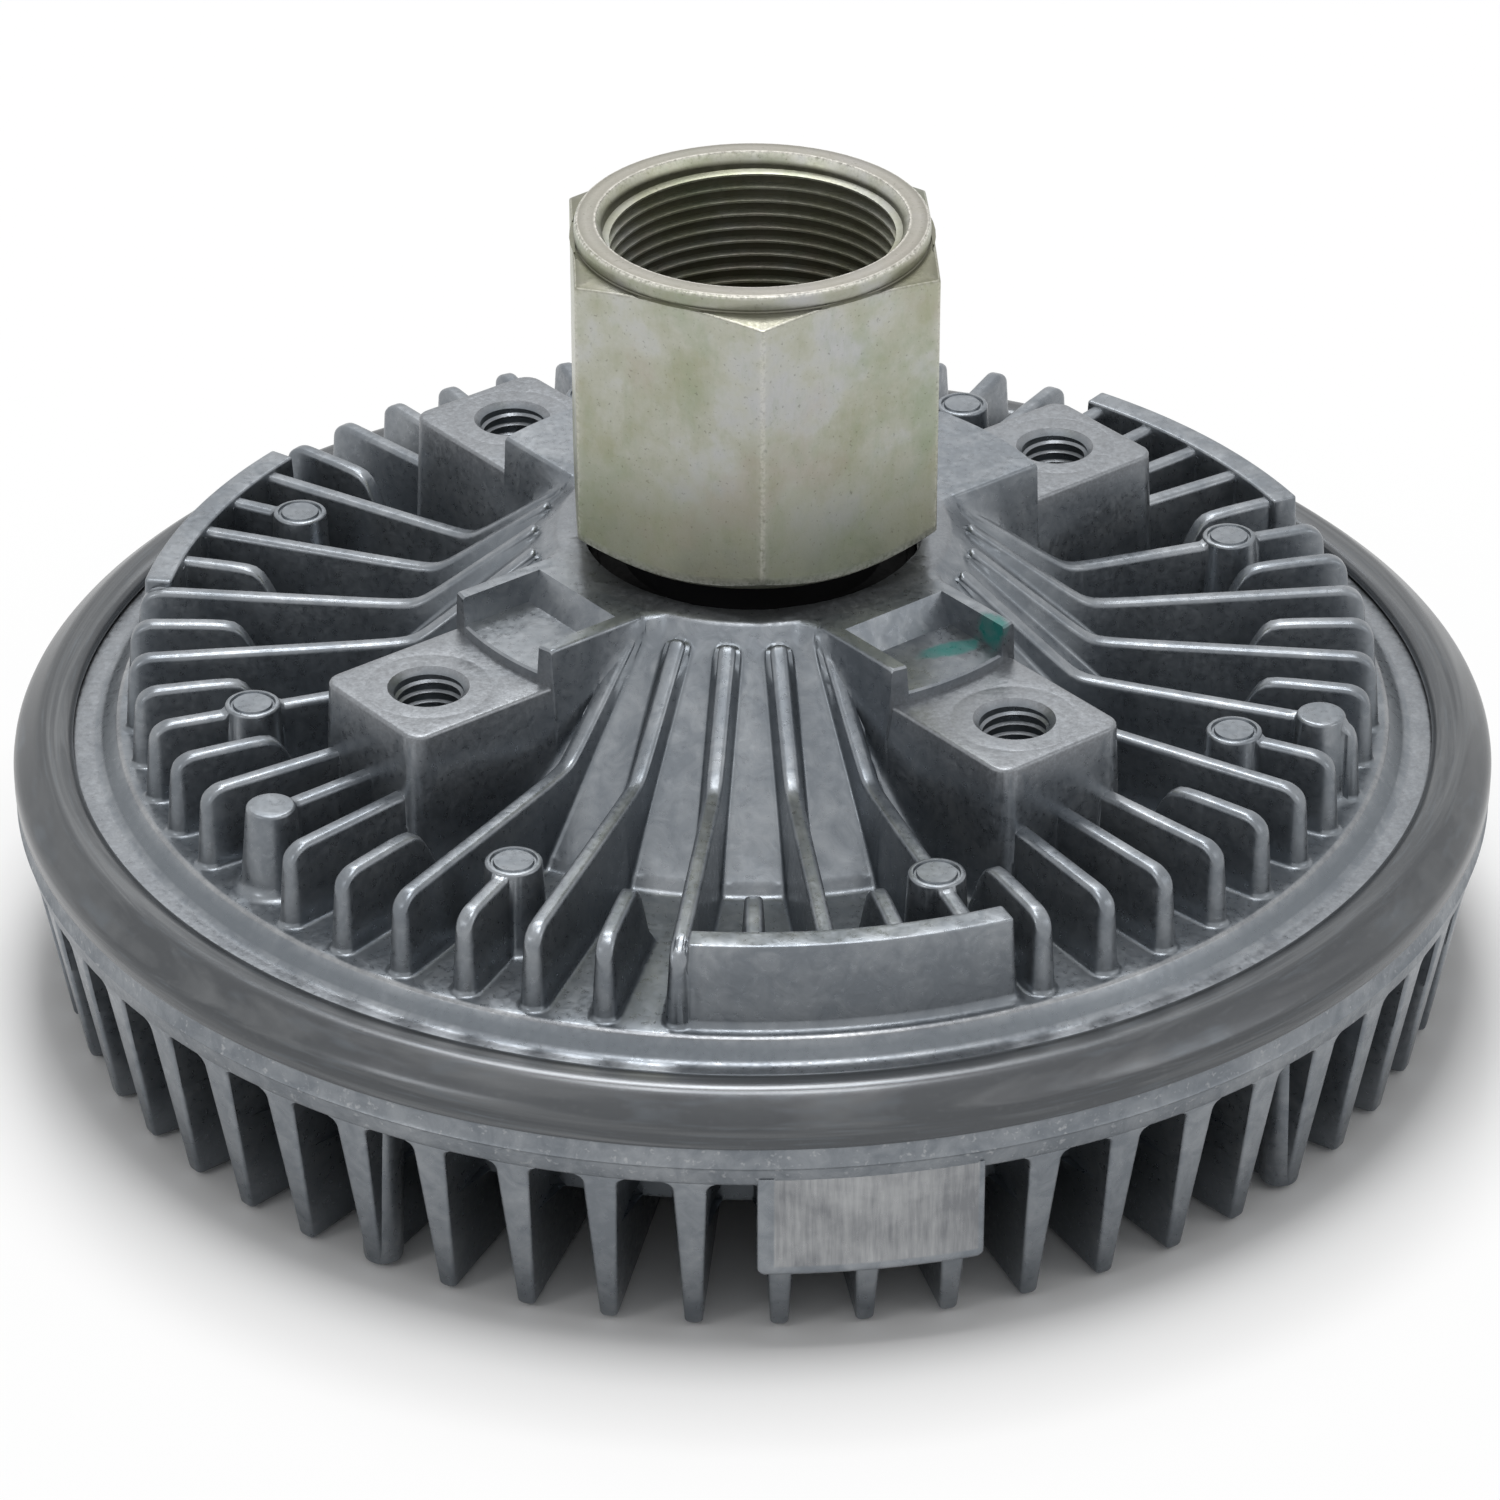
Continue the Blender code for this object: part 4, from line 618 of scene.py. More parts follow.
# (radius, height) of the casting without ribs, of its turned flange and of its inside
housingBase = [
    (23.1, 64.15), (23.35, 64.4), (26.5, 64.4), (26.95, 64.2), (27.3, 63.9), (52.7, 40.15), (53.4, 39.65),
    (53.75, 38.85), (54.4, 38.45), (55.2, 38.4), (86.9, 38.4), (87.3, 38.33), (87.6, 38.12),
]
housingFlange = [
    (87.75, 37.95), (88.6, 37.14), (89.5, 36.3), (89.72, 36.12), (89.95, 35.98), (90.22, 35.87), (90.5, 35.8),
    (90.8, 35.76), (91.1, 35.75), (93.3, 35.75), (93.6, 35.7), (96.2, 34.4),
]
housingInside = [
    (96.2, 30.4), (96.0, 30.2), (87.3, 30.2), (87.3, 33.0), (75.5, 33.0), (75.5, 30.4), (72.0, 30.4),
    (72.0, 33.0), (65.5, 33.0), (65.5, 30.4), (62.0, 30.4), (62.0, 33.0), (52.0, 33.0), (31.0, 52.0),
    (31.0, 41.8), (26.3, 41.8), (26.3, 44.4), (27.3, 44.4), (27.3, 46.5), (26.3, 46.5), (26.3, 61.8),
    (23.1, 61.8),
]


def housingFeatures(s):
    features = []

    def addPost(kind, angle, marked):
        x, y = polar(s[kind + "Circle"], angle)
        features.append({"kind": "post", "x": x, "y": y, "radius": s[kind + "Radius"], "marked": marked,
                         "shape": s[kind + "Shape"]})
    halfSector = s["sectorRibs"] // 2
    for number in range(-s["ribCount"] // 2, s["ribCount"] // 2):
        place = (number + halfSector) % s["sectorRibs"] - halfSector
        angle = -90.0 + number * 360.0 / s["ribCount"]
        rib = {"kind": "rib", "angle": angle, "inner": s["shortInner"], "outer": s["ribOuter"],
               "half": s["ribHalf"], "corner": s["ribHalf"], "innerCorner": s["innerCorner"],
               "shape": s["ribShape"]}
        if any(abs((angle - wall + 180) % 360 - 180) < s["wallSpan"] / 2 - 0.3 for wall in s["wallAngles"]):
            rib.update(outer=s["wallMiddle"] + 0.1, walled=True)
        if number == s["plainPlaces"][0]:
            rib.update(inner=s["bossEnd"], outer=s["plainCircle"], innerCorner=0.01)
        elif abs(place) >= 6:
            rib.update(inner=s["bossEnd"], innerCorner=0.01)
        elif place % 2 == 0:
            rib.update(inner=s["hubEnd"], innerCorner=1.4, long=True)
        elif place in s["ejectorPlaces"]:
            rib.update(inner=s["ejectorCircle"], innerCorner=0.01)
        else:
            rib["slant"] = s["endSlope"]
        features.append(rib)
        if place in s["ejectorPlaces"]:
            addPost("ejector", angle, True)
        if number in s["plainPlaces"]:
            addPost("plain", angle, False)
    reach = radians(s["wallSpan"] / 2) * s["wallMiddle"]
    for angle in s["wallAngles"]:
        features.append({"kind": "wall", "angle": angle, "bent": s["wallMiddle"], "half": s["wallHalf"],
                         "inner": -reach, "outer": reach, "corner": 0.5, "shape": s["wallShape"],
                         "wallLines": (0.1, 0.4)})
    for angle in s["bossAngles"]:
        features.append({"kind": "boss", "angle": angle, "inner": 0.0, "outer": s["bossOuter"],
                         "half": s["bossHalf"], "corner": s["bossCorner"], "shape": s["bossShape"],
                         "pocket": angle < 0, "wallLines": (0.22, 0.38, 0.45, 0.50, 0.56, 0.75)})
    return features


def cornerFall(over, radius):
    return radius - np.sqrt(np.clip(radius ** 2 - np.clip(over, 0, radius) ** 2, 0, None))


def ribHeight(rib, along, s):
    top = np.full_like(along, s["ribTop"])
    if rib.get("long"):
        climb = (s["kneeRadius"] - along) * s["kneeSlope"]
        top = top + (climb + np.sqrt(climb ** 2 + 1.2)) / 2 - 0.1
    if not rib.get("walled"):
        top -= cornerFall(along - rib["outer"] + s["outerCorner"], s["outerCorner"])
    if rib.get("slant"):
        ramp = s["ribFloor"] + (along - rib["inner"]) * rib["slant"]
        return (top + ramp - np.sqrt((top - ramp) ** 2 + s["innerCorner"] ** 2)) / 2
    return top - cornerFall(rib["inner"] + rib["innerCorner"] - along, rib["innerCorner"])


def postHeight(post, fromAxis, s):
    top = np.full_like(fromAxis, s["postTop"])
    if post["marked"]:
        a, b, c, d = s["ejectorMark"]
        within, beyond = np.clip((d - fromAxis) / (d - c), 0, 1), np.clip((fromAxis - a) / (b - a), 0, 1)
        top -= s["markDepth"] * within * beyond
    return top


def bossHeight(boss, radius, along, across, s):
    # hub face with its pocket, the step down to the pad, and the hole with its bevelled mouth
    top = np.full_like(radius, s["hubTop"])
    if boss["pocket"]:
        ramp = (s["pocketStart"] + s["pocketRamp"] - along) / s["pocketRamp"]
        side = (np.abs(across) - s["pocketHalf"]) / s["pocketEdge"]
        floor = s["pocketFloor"] + (s["hubTop"] - s["pocketFloor"]) * np.clip(np.maximum(ramp, side), 0, 1)
        top = np.minimum(top, floor)
    beyond = radius - s["pilotRadius"]
    top = top - 0.28 * np.clip(beyond / 0.3 + 1, 0, 1)
    top = top + (s["padHeight"] - top) * np.clip(beyond / 0.12, 0, 1)
    fromHole = np.hypot(along - s["boltCircle"], across)
    mouth = np.clip(s["boltMouth"] - fromHole, 0, None) * s["boltBevel"]
    cut = np.clip(1 - np.abs(fromHole - s["toolRing"]) / 0.16, 0, 1) * 0.02
    top = np.minimum(top, s["padHeight"] - mouth - cut + 90 * (radius < s["pilotRadius"] + 0.06))
    return top + (s["boltFloor"] - top) * np.clip((s["boltWall"] - 0.01 - fromHole) / 0.1, 0, 1)


def housingHeight(x, y, features, s):
    # height of the relief, and the masks of turned places and of painted shade with some grime
    radius = np.hypot(x, y)
    base = np.interp(radius, *zip(*housingBase))
    turned = np.where((radius > 90.6) | (radius < 27.0), 0.55, 0.0)
    nearest = np.full_like(x, 99.0)
    rise, boreShade, flankAndPostShade = np.zeros_like(x), np.zeros_like(x), np.zeros_like(x)
    for feature in features:
        if feature["kind"] == "post":
            fromAxis = np.hypot(x - feature["x"], y - feature["y"])
            distance = fromAxis - feature["radius"]
            top = postHeight(feature, fromAxis, s)
        else:
            distance, along, across = boxDistance(feature, x, y)
        if feature["kind"] == "rib":
            top = ribHeight(feature, along, s)
        if feature["kind"] == "wall":
            top = s["postTop"]
        if feature["kind"] == "boss":
            top = bossHeight(feature, radius, along, across, s)
        own = wallRise(np.clip(top - base, 0, None), distance, *feature["shape"])
        if feature["kind"] == "boss":
            turned[(distance < 0.01) & (radius > s["pilotRadius"] + 0.1) & (own > 0)] = 0.75
            # the bolt hole's walls get painted shade
            inHole = np.hypot(along - s["boltCircle"], across) < s["boltWall"] + 0.01
            turned[inHole] = 0.0
            boreShade = np.maximum(boreShade, inHole * 1.0)
        # painted shade on the long ribs' flanks and roots, and on the post tops inside a brighter rim
        if feature.get("long"):
            flankAndPostShade = np.maximum(flankAndPostShade, np.clip(1 - np.abs(distance - 0.55) / 0.75, 0, 1) * (own > 0))
        if feature["kind"] == "post":
            flankAndPostShade[distance < -0.3] = 0.55
        rise = np.maximum(rise, own)
        nearest = np.minimum(nearest, distance)
    # painted shade, with some grime: darker low down near the walls between the ribs
    low = np.clip((s["ribTop"] - base - rise) / 10.0, 0, 1)
    lowShadeAndGrime = np.clip(0.45 - nearest / 10.0, 0, 1) * low * (radius < 87.0)
    return base + rise, turned, np.maximum(lowShadeAndGrime, np.maximum(boreShade, 0.75 * flankAndPostShade))


def housingLines(features, s):
    lines = PlanLines()
    lines.addCircles([r for r, z in housingBase], s["columns"])
    for feature in features:
        kind = feature["kind"]
        if kind == "post":
            centre = feature["x"], feature["y"]
            radii = [feature["radius"] + offset for offset in planOf(feature)]
            lines.addCircles([r for r in radii if r > 0.1], 40, centre)
            if feature["marked"]:
                lines.addCircles((1.3, *s["ejectorMark"]), 64, centre)
            continue
        for offset in planOf(feature):
            if feature["half"] + offset < 0.2:
                continue
            if kind == "rib":
                stations = [u for u in s["ribStations"] if feature.get("long") or u > feature["inner"]]
                lines.add(boxOutline(feature, offset, stations))
            if kind == "wall":
                lines.add(boxOutline(feature, offset, np.arange(feature["inner"], feature["outer"], 2.0)))
            if kind == "boss":
                lines.add(openOutline(feature, offset, s["bossStations"]), closed=False)
        if kind == "boss":
            addBossLines(lines, feature, s)
    return lines


def addBossLines(lines, boss, s):
    centre = inPlan(boss, [(s["boltCircle"], 0.0)])[0]
    wall, mouth, ring, pilot = s["boltWall"], s["boltMouth"], s["toolRing"], s["pilotRadius"]
    lines.addCircles((mouth + 0.9, mouth, wall, wall - 0.12, 2.5), 64, centre)
    lines.addCircles((ring - 0.16, ring, ring + 0.16), 56, centre)
    for r in (pilot - 0.3, pilot, pilot + 0.12, pilot + 0.5):
        reach = np.arcsin((s["bossHalf"] + 1.5) / r)
        lines.add(inPlan(boss, [(r * cos(t), r * sin(t)) for t in np.linspace(-reach, reach, 25)]),
                  closed=False)
    if boss["pocket"]:
        start, end, half = s["pocketStart"], s["pocketStart"] + s["pocketRamp"], s["pocketHalf"]
        sides = (-half - s["pocketEdge"], -half, half, half + s["pocketEdge"])
        for v in sides:
            lines.add(inPlan(boss, [(u, v) for u in (start - 1.2, start, end, 36, 40, pilot)]), closed=False)
        for u in (start, end):
            lines.add(inPlan(boss, [(u, v) for v in (*sides[:2], -4, 0, 4, *sides[2:])]), closed=False)


def makeHousing(s):
    features = housingFeatures(s)
    flat, faces = triangulate(housingLines(features, s), *s["edge"])
    height, turned, shadeAndGrime = housingHeight(flat[:, 0], flat[:, 1], features, s)
    points = [(x, y, z) for (x, y), z in zip(flat, height)]
    points, faces = closeUnderside(points, faces, s["edge"], housingFlange + housingInside)
    radius = np.array([np.hypot(x, y) for x, y, z in points])
    below = radius[len(flat):]
    return makeObject("rearHousing", points, faces, castAluminium, 38, {
        "turned": [*turned, *np.where(below > 90.6, 0.55, 0.0)],
        # painted shade on the flange slope
        "shadeAndGrime": [*shadeAndGrime, *np.where((below > 88.0) & (below < 89.6), 0.9, 0.0)],
        # painted highlight line along the relief's outer edge
        "brushedAndEdgeHighlight": [*np.where(radius[:len(flat)] > 87.2, 0.8, 0.0), *np.zeros(len(below))],
    })


# Front cover

coverSettings = {
    "finCount": 55,
    "finPhase": -75.1,
    "finInner": 60.2,
    "finShelf": 15.4,                     # inside the plate; above it only the fin's outer part goes on
    "tipRadius": 96.3,
    "rootRadius": 100.75,
    "rimBottom": 25.0,
    "plateUnder": 14.7,
    "wallFoot": 89.5,
    "wallTop": 92.0,
    "tipHalf": 1.15,
    "rootHalf": 2.3,
    "edgeRound": 0.55,
    "tipRound": 1.05,
    "rootRound": 1.6,
    "stations": (0.96, 0.92, 0.88, 0.85, 0.82, 0.79, 0.76, 0.73, 0.70, 0.62, 0.45, 0.28, 0.13),
    "levels": (0.0, 0.08, 0.26, 0.5, 0.8, 1.05, 4.0, 8.0, 12.0, 13.2, 13.8, 14.3, 14.75, 15.35, 15.4, 19.0,
               22.5, 23.5, 24.1, 24.6, 24.95, 25.3),
    "columns": 330,
    "postPlaces": (-6, 6),                # fins that stand on a post
    "postCircle": 94.0,
    "postProfile": ((0.0, 0.5), (2.2, 0.5), (2.5, 0.7), (2.6, 1.1), (3.2, 22.0), (3.6, 24.4), (4.2, 25.3),
                    (0.0, 25.3)),
    # the two lugs that hold the coil's tail: x and y from and to
    "lugs": ((24.8, 29.3, 0.8, 3.8), (24.8, 29.3, -3.8, -0.8)),
    "lugHeights": (3.4, 12.3),
    "lugRound": 0.5,
    "lugDraft": 0.25,
}
# (radius, height) from the middle of the underside outwards, over the rolled rim and back along the inside
coverProfile = [
    (3.8, 11.35), (4.1, 11.15), (5.0, 11.15), (5.3, 11.35), (5.7, 11.7), (30.6, 11.7), (31.2, 11.4),
    (32.6, 11.4), (33.2, 11.7), (58.2, 11.7), (58.7, 11.85), (61.8, 14.6), (62.3, 14.7), (88.6, 14.7),
    (89.4, 14.95), (89.8, 15.8), (91.9, 24.2), (92.3, 24.85), (93.0, 25.0), (100.5, 25.0), (100.9, 25.1),
    (101.08, 25.4), (101.5, 27.5), (101.62, 27.85), (101.8, 28.05), (101.62, 28.3), (101.5, 28.7),
    (101.3, 30.1), (101.25, 30.5), (101.45, 30.85), (101.8, 31.05), (101.9, 31.3), (101.9, 33.2),
    (101.87, 33.4), (101.78, 33.9), (101.5, 34.5), (101.1, 35.0), (100.5, 35.55), (99.8, 36.14),
    (99.1, 36.72), (98.6, 37.1), (98.2, 37.32), (97.7, 37.46), (97.2, 37.53), (96.6, 37.54), (95.6, 37.54),
    (94.9, 37.5), (94.3, 37.32), (93.9, 37.05), (93.68, 36.75), (93.6, 36.4), (93.65, 36.1), (97.2, 36.05),
    (97.2, 29.9), (94.2, 29.9), (94.2, 27.5), (91.0, 27.5), (91.0, 29.9), (87.35, 29.9), (87.35, 20.2),
    (58.5, 20.2), (56.75, 15.2), (7.6, 15.2), (7.5, 19.0), (3.8, 19.0),
]


def makeLug(x0, x1, y0, y1, s):
    # cast block that stands on its top face, with rounded edges and slightly sloping sides
    low, high = s["lugHeights"]
    soft = s["lugRound"]
    outlines = []
    for rise, inset in ((0.0, soft), (soft * 0.3, soft * 0.3), (soft, 0.0), (high - low, -s["lugDraft"])):
        gap = soft + inset
        line = []
        for corner, (x, y) in enumerate(((x1 - gap, y1 - gap), (x0 + gap, y1 - gap), (x0 + gap, y0 + gap),
                                         (x1 - gap, y0 + gap))):
            line += arcPoints(x, y, soft, 90 * corner, 90 * corner + 90, 3)
        outlines.append([(x, y, low + rise) for x, y in line])
    return makeObject("coilLug", *stackedBody(outlines), castAluminium)


def finOutline(z, s):
    # one horizontal slice of a fin, its edges rounded, flared where it meets the casting
    share = min(z / s["rimBottom"], 1.0)
    inset = roundOff(z, s["tipRound"])
    half = s["tipHalf"] + (s["rootHalf"] - s["tipHalf"]) * share - inset
    inner = s["finInner"] + 0.3 - 0.4 * share + inset if z < s["finShelf"] else s["wallFoot"] - 1.0
    outer = s["tipRadius"] + (s["rootRadius"] - s["tipRadius"]) * share - inset
    edge = min(s["edgeRound"], half * 0.9)
    bow = half * 0.9
    line = [(outer, (half - edge) * k) for k in (0.0, 0.5)]
    line += arcPoints(outer - edge, half - edge, edge, 0, 90, 4)
    line += [(inner + (outer - inner) * k, half) for k in s["stations"]]
    line += arcPoints(inner + bow, half - bow, bow, 90, 180, 4)
    outline = []
    for u, v in line:
        ground = np.interp(u, [s["wallFoot"], s["wallTop"]], [s["plateUnder"], s["rimBottom"]])
        flare = roundOff(max(ground - z, 0.0), s["rootRound"])
        outline.append((u, v + flare * min(v / max(half - edge, 0.1), 1.0), z))
    return outline + [(u, -v, z) for u, v, z in reversed(outline) if v > 1e-6]


def newGroup(name, inputs):
    # an empty geometry node tree with named inputs, their fields and their identifiers
    tree = bpy.data.node_groups.new(name, "GeometryNodeTree")
    inputs = {**inputs, "material": ("Material", "Material")}
    tree.interface.new_socket("Geometry", in_out="INPUT", socket_type="NodeSocketGeometry")
    ids = {key: tree.interface.new_socket(label, in_out="INPUT", socket_type="NodeSocket" + kind).identifier
           for key, (label, kind) in inputs.items()}
    tree.interface.new_socket("Geometry", in_out="OUTPUT", socket_type="NodeSocketGeometry")
    given = tree.nodes.new("NodeGroupInput").outputs
    return tree, ids, {key: Field(tree, given[label]) for key, (label, kind) in inputs.items()}


def finishGroup(tree, geometry, material):
    solid = addNode(tree, "GeometryNodeRealizeInstances", {"Geometry": geometry})
    painted = addNode(tree, "GeometryNodeSetMaterial", {"Geometry": solid, "Material": material})
    addNode(tree, "NodeGroupOutput", {0: painted})


def grownObject(name, tree, ids, values, smoothTo=40):
    # evaluates a node tree on an empty mesh and keeps the result as a plain mesh
    holder = linkNew(name, bpy.data.meshes.new(name))
    modifier = holder.modifiers.new("shape", "NODES")
    modifier.node_group = tree
    for key, value in values.items():
        modifier[ids[key]] = value
    bpy.context.view_layer.update()
    graph = bpy.context.evaluated_depsgraph_get()
    mesh = bpy.data.meshes.new_from_object(holder.evaluated_get(graph))
    holder.modifiers.clear()
    holder.data = mesh
    faceOutwards(holder)
    smoothFaces(mesh, smoothTo)
    return holder


def circleOfCopies():
    # copies one object round the axis
    tree, ids, given = newGroup("circleOfCopies", {
        "count": ("Count", "Int"), "phase": ("First Angle", "Float"), "piece": ("Piece", "Object")})
    piece = addNode(tree, "GeometryNodeObjectInfo", {"Object": given["piece"]}, "Geometry")
    line = addNode(tree, "GeometryNodeMeshLine", {"Count": given["count"], "Offset": (0, 0, 0)})
    turn = addNode(tree, "GeometryNodeInputIndex") / given["count"] * (2 * pi) + given["phase"]
    rotation = addNode(tree, "ShaderNodeCombineXYZ", {"Z": turn})
    copies = addNode(tree, "GeometryNodeInstanceOnPoints",
                     {"Points": line, "Instance": piece, "Rotation": rotation})
    finishGroup(tree, copies, given["material"])
    return tree, ids


padSettings = {
    "from": -83.4,
    "to": -66.8,
    "bottom": 11.5,
    "top": 26.2,
    "outer": 101.35,
    "inner": 96.5,
    "corner": 1.2,
    "edge": 0.5,
    "border": (2.2, 0.9, 1.3),           # cast border left, right and below of the machined facet
    "step": 0.12,                        # half the run of the step down to the facet
    "sunk": 0.16,
}


def makeBalancePad(s):
    # bent block with rounded edges and a machined facet
    width = radians(s["to"] - s["from"]) * s["outer"]
    left, right, below = s["border"]
    step, tall = s["step"], s["top"] - s["bottom"]
    ends = [0.0, 0.08, 0.22, 0.5, 0.85, 1.2]
    across = ends + [left - step, left + step, *np.linspace(left + 1.2, width - right - 1.4, 12)]
    across += [width - right - step, width - right + step] + [width - v for v in reversed(ends[:4])]
    rises = [0.0, 0.08, 0.22, 0.5, below - step, below + step, 4.0, 8.0, tall]
    front, facets = [], []
    for w in across:
        lift = roundOff(min(w, width - w), s["corner"])
        for rise in rises:
            facet = min(max(min(w - left, width - right - w, rise - below) / (2 * step) + 0.5, 0.0), 1.0)
            radius = s["outer"] - roundOff(min(w, width - w, rise), s["edge"]) - s["sunk"] * facet
            z = s["bottom"] + lift + rise * (tall - lift) / tall
            front.append((*polar(radius, s["from"] + np.degrees(w / s["outer"])), z))
            facets.append(facet)
    back = [(*polar(s["inner"], np.degrees(np.arctan2(y, x))), z) for x, y, z in front]
    rows, behind = len(rises), len(front)
    faces = []
    for start in range(0, behind - rows, rows):
        for a in range(start, start + rows - 1):
            faces.append((a, a + rows, a + rows + 1, a + 1))
            faces.append((behind + a + 1, behind + a + rows + 1, behind + a + rows, behind + a))
    loop = [*range(0, behind, rows), *range(behind - rows + 1, behind), *range(behind - rows - 1, 0, -rows),
            *range(rows - 2, 0, -1)]
    faces += ringFaces([loop, [behind + v for v in loop]])
    return makeObject("balancePad", front + back, faces, castAluminium, 30,
                      {"brushedAndEdgeHighlight": facets + [0.0] * len(back)})


def makeCover(s):
    cover = makeObject("frontCover", *turnedBody(coverProfile, s["columns"]), castAluminium, 35)
    co = vertexArray(cover)
    height, radius = co[:, 2], np.hypot(co[:, 0], co[:, 1])
    rim = radius > 93.0
    addMask(cover, "band", (height > 30.6) & rim)
    addMask(cover, "rough", (height > 25.2) & (height < 30.6) & rim)
    # painted shade under the cover among the fins
    addMask(cover, "shadeAndGrime", 0.8 * ((height < 24.9) & (radius > 60)))
    oneFin = makeObject("oneFin", *stackedBody([finOutline(z, s) for z in s["levels"]]), castAluminium)
    fins = grownObject("coverFins", *circleOfCopies(), {
        "count": s["finCount"], "phase": radians(s["finPhase"]), "piece": oneFin, "material": castAluminium})
    bpy.data.objects.remove(oneFin)
    co = vertexArray(fins)
    # painted shade on the fins, darker towards their inner ends
    addMask(fins, "shadeAndGrime", np.clip((98.0 - np.hypot(co[:, 0], co[:, 1])) / 8.0, 0, 1))
    others = [fins, makeBalancePad(padSettings)] + [makeLug(*span, s) for span in s["lugs"]]
    points, faces = turnedBody(s["postProfile"], 28, closed=False)
    for number in s["postPlaces"]:
        x, y = polar(s["postCircle"], s["finPhase"] + number * 360 / s["finCount"])
        moved = [(px + x, py + y, pz) for px, py, pz in points]
        others.append(makeObject("finPost", moved, faces, castAluminium))
    joinInto(cover, others)
    smoothFaces(cover.data, 38)
    return cover


# Seal in the hub, and the spiral of bimetal under the cover

sealSettings = {
    "bottom": 59.7,
    "columns": 96,
    # face of the seal from its outer edge inwards, then the tall dust lip that runs on the nut's neck, a black
    # sheet that also stands for the painted shade under the nut
    "face": ((22.1, 0.0), (22.3, 0.2), (22.3, 0.75), (22.1, 0.95), (21.6, 1.0), (21.2, 0.95), (21.0, 0.7),
             (20.6, 0.6), (19.8, 0.6), (19.4, 0.75), (18.9, 0.95), (18.3, 1.0), (17.8, 1.3), (17.5, 2.2),
             (17.4, 4.6), (17.8, 6.0), (18.5, 6.7), (18.4, 6.95), (17.6, 6.8), (16.7, 6.2), (16.2, 5.4),
             (15.95, 5.0), (15.95, 4.6), (16.4, 3.4), (16.3, 0.0)),
}


def makeSeal(s):
    profile = [(r, s["bottom"] + z) for r, z in s["face"]]
    return makeObject("hubSeal", *turnedBody(profile, s["columns"]), looks["blackRubber"], 35)


coilSettings = {
    "strip": 1.0,
    "width": 7.5,
    "bottom": 3.4,
    "inner": 5.6,
    "outer": 23.2,
    "start": -2.8,             # inner end, in the valve shaft's slot
    "tail": 27.8,              # outer end, between the cover's lugs
    "bend": 1.2,
    "turns": 4.0,
    "points": 194,
}


def coilTree():
    # flat strip wound on edge
    sizes = {"strip": "Strip Thickness", "width": "Strip Width", "bottom": "Lower Edge", "inner": "Inner Radius",
             "outer": "Outer Radius", "start": "Inner End", "tail": "Outer End", "bend": "Bend Radius",
             "turns": "Turns"}
    tree, ids, given = newGroup("bimetalSpiral", {
        "points": ("Points", "Int"), **{key: (label, "Float") for key, label in sizes.items()}})
    line = addNode(tree, "GeometryNodeMeshLine", {"Count": given["points"], "Offset": (0, 0, 0)})
    index = addNode(tree, "GeometryNodeInputIndex")
    last = given["points"] - 1.0
    share = addNode(tree, "ShaderNodeClamp", {0: (index - 1.0) / (last - 2.0)})
    radius = spread(share, 0.0, 1.0, given["inner"], given["outer"])
    turn = share * given["turns"] * (2 * pi)
    x, y = radius * calc("COSINE", turn), radius * calc("SINE", turn)
    for choice, end in ((calc("LESS_THAN", index, 0.5), given["start"]),
                        (calc("GREATER_THAN", index, last - 0.5), given["tail"])):
        x, y = spread(choice, 0.0, 1.0, x, end), spread(choice, 0.0, 1.0, y, 0.0)
    middle = given["bottom"] + given["width"] * 0.5
    place = addNode(tree, "ShaderNodeCombineXYZ", {"X": x, "Y": y, "Z": middle})
    moved = addNode(tree, "GeometryNodeSetPosition", {"Geometry": line, "Position": place})
    path = addNode(tree, "GeometryNodeMeshToCurve", {"Mesh": moved})
    fillet = addNode(tree, "GeometryNodeFilletCurve", {
        "Curve": path, "Radius": given["bend"], "Count": 5, "Limit Radius": True}, mode="POLY")
    upright = addNode(tree, "GeometryNodeSetCurveNormal", {"Curve": fillet}, mode="Z_UP")
    section = addNode(tree, "GeometryNodeCurvePrimitiveQuadrilateral", {
        "Width": given["strip"], "Height": given["width"]})
    strip = addNode(tree, "GeometryNodeCurveToMesh",
                    {"Curve": upright, "Profile Curve": section, "Fill Caps": True})
    finishGroup(tree, strip, given["material"])
    return tree, ids


def makeCoil(s):
    counts = {key: s[key] for key in ("turns", "points")}
    lengths = {key: value * mm for key, value in s.items() if key not in counts}
    values = {**lengths, **counts, "material": looks["bimetalStrip"]}
    return grownObject("bimetalCoil", *coilTree(), values, 30)


# Drive nut and shaft

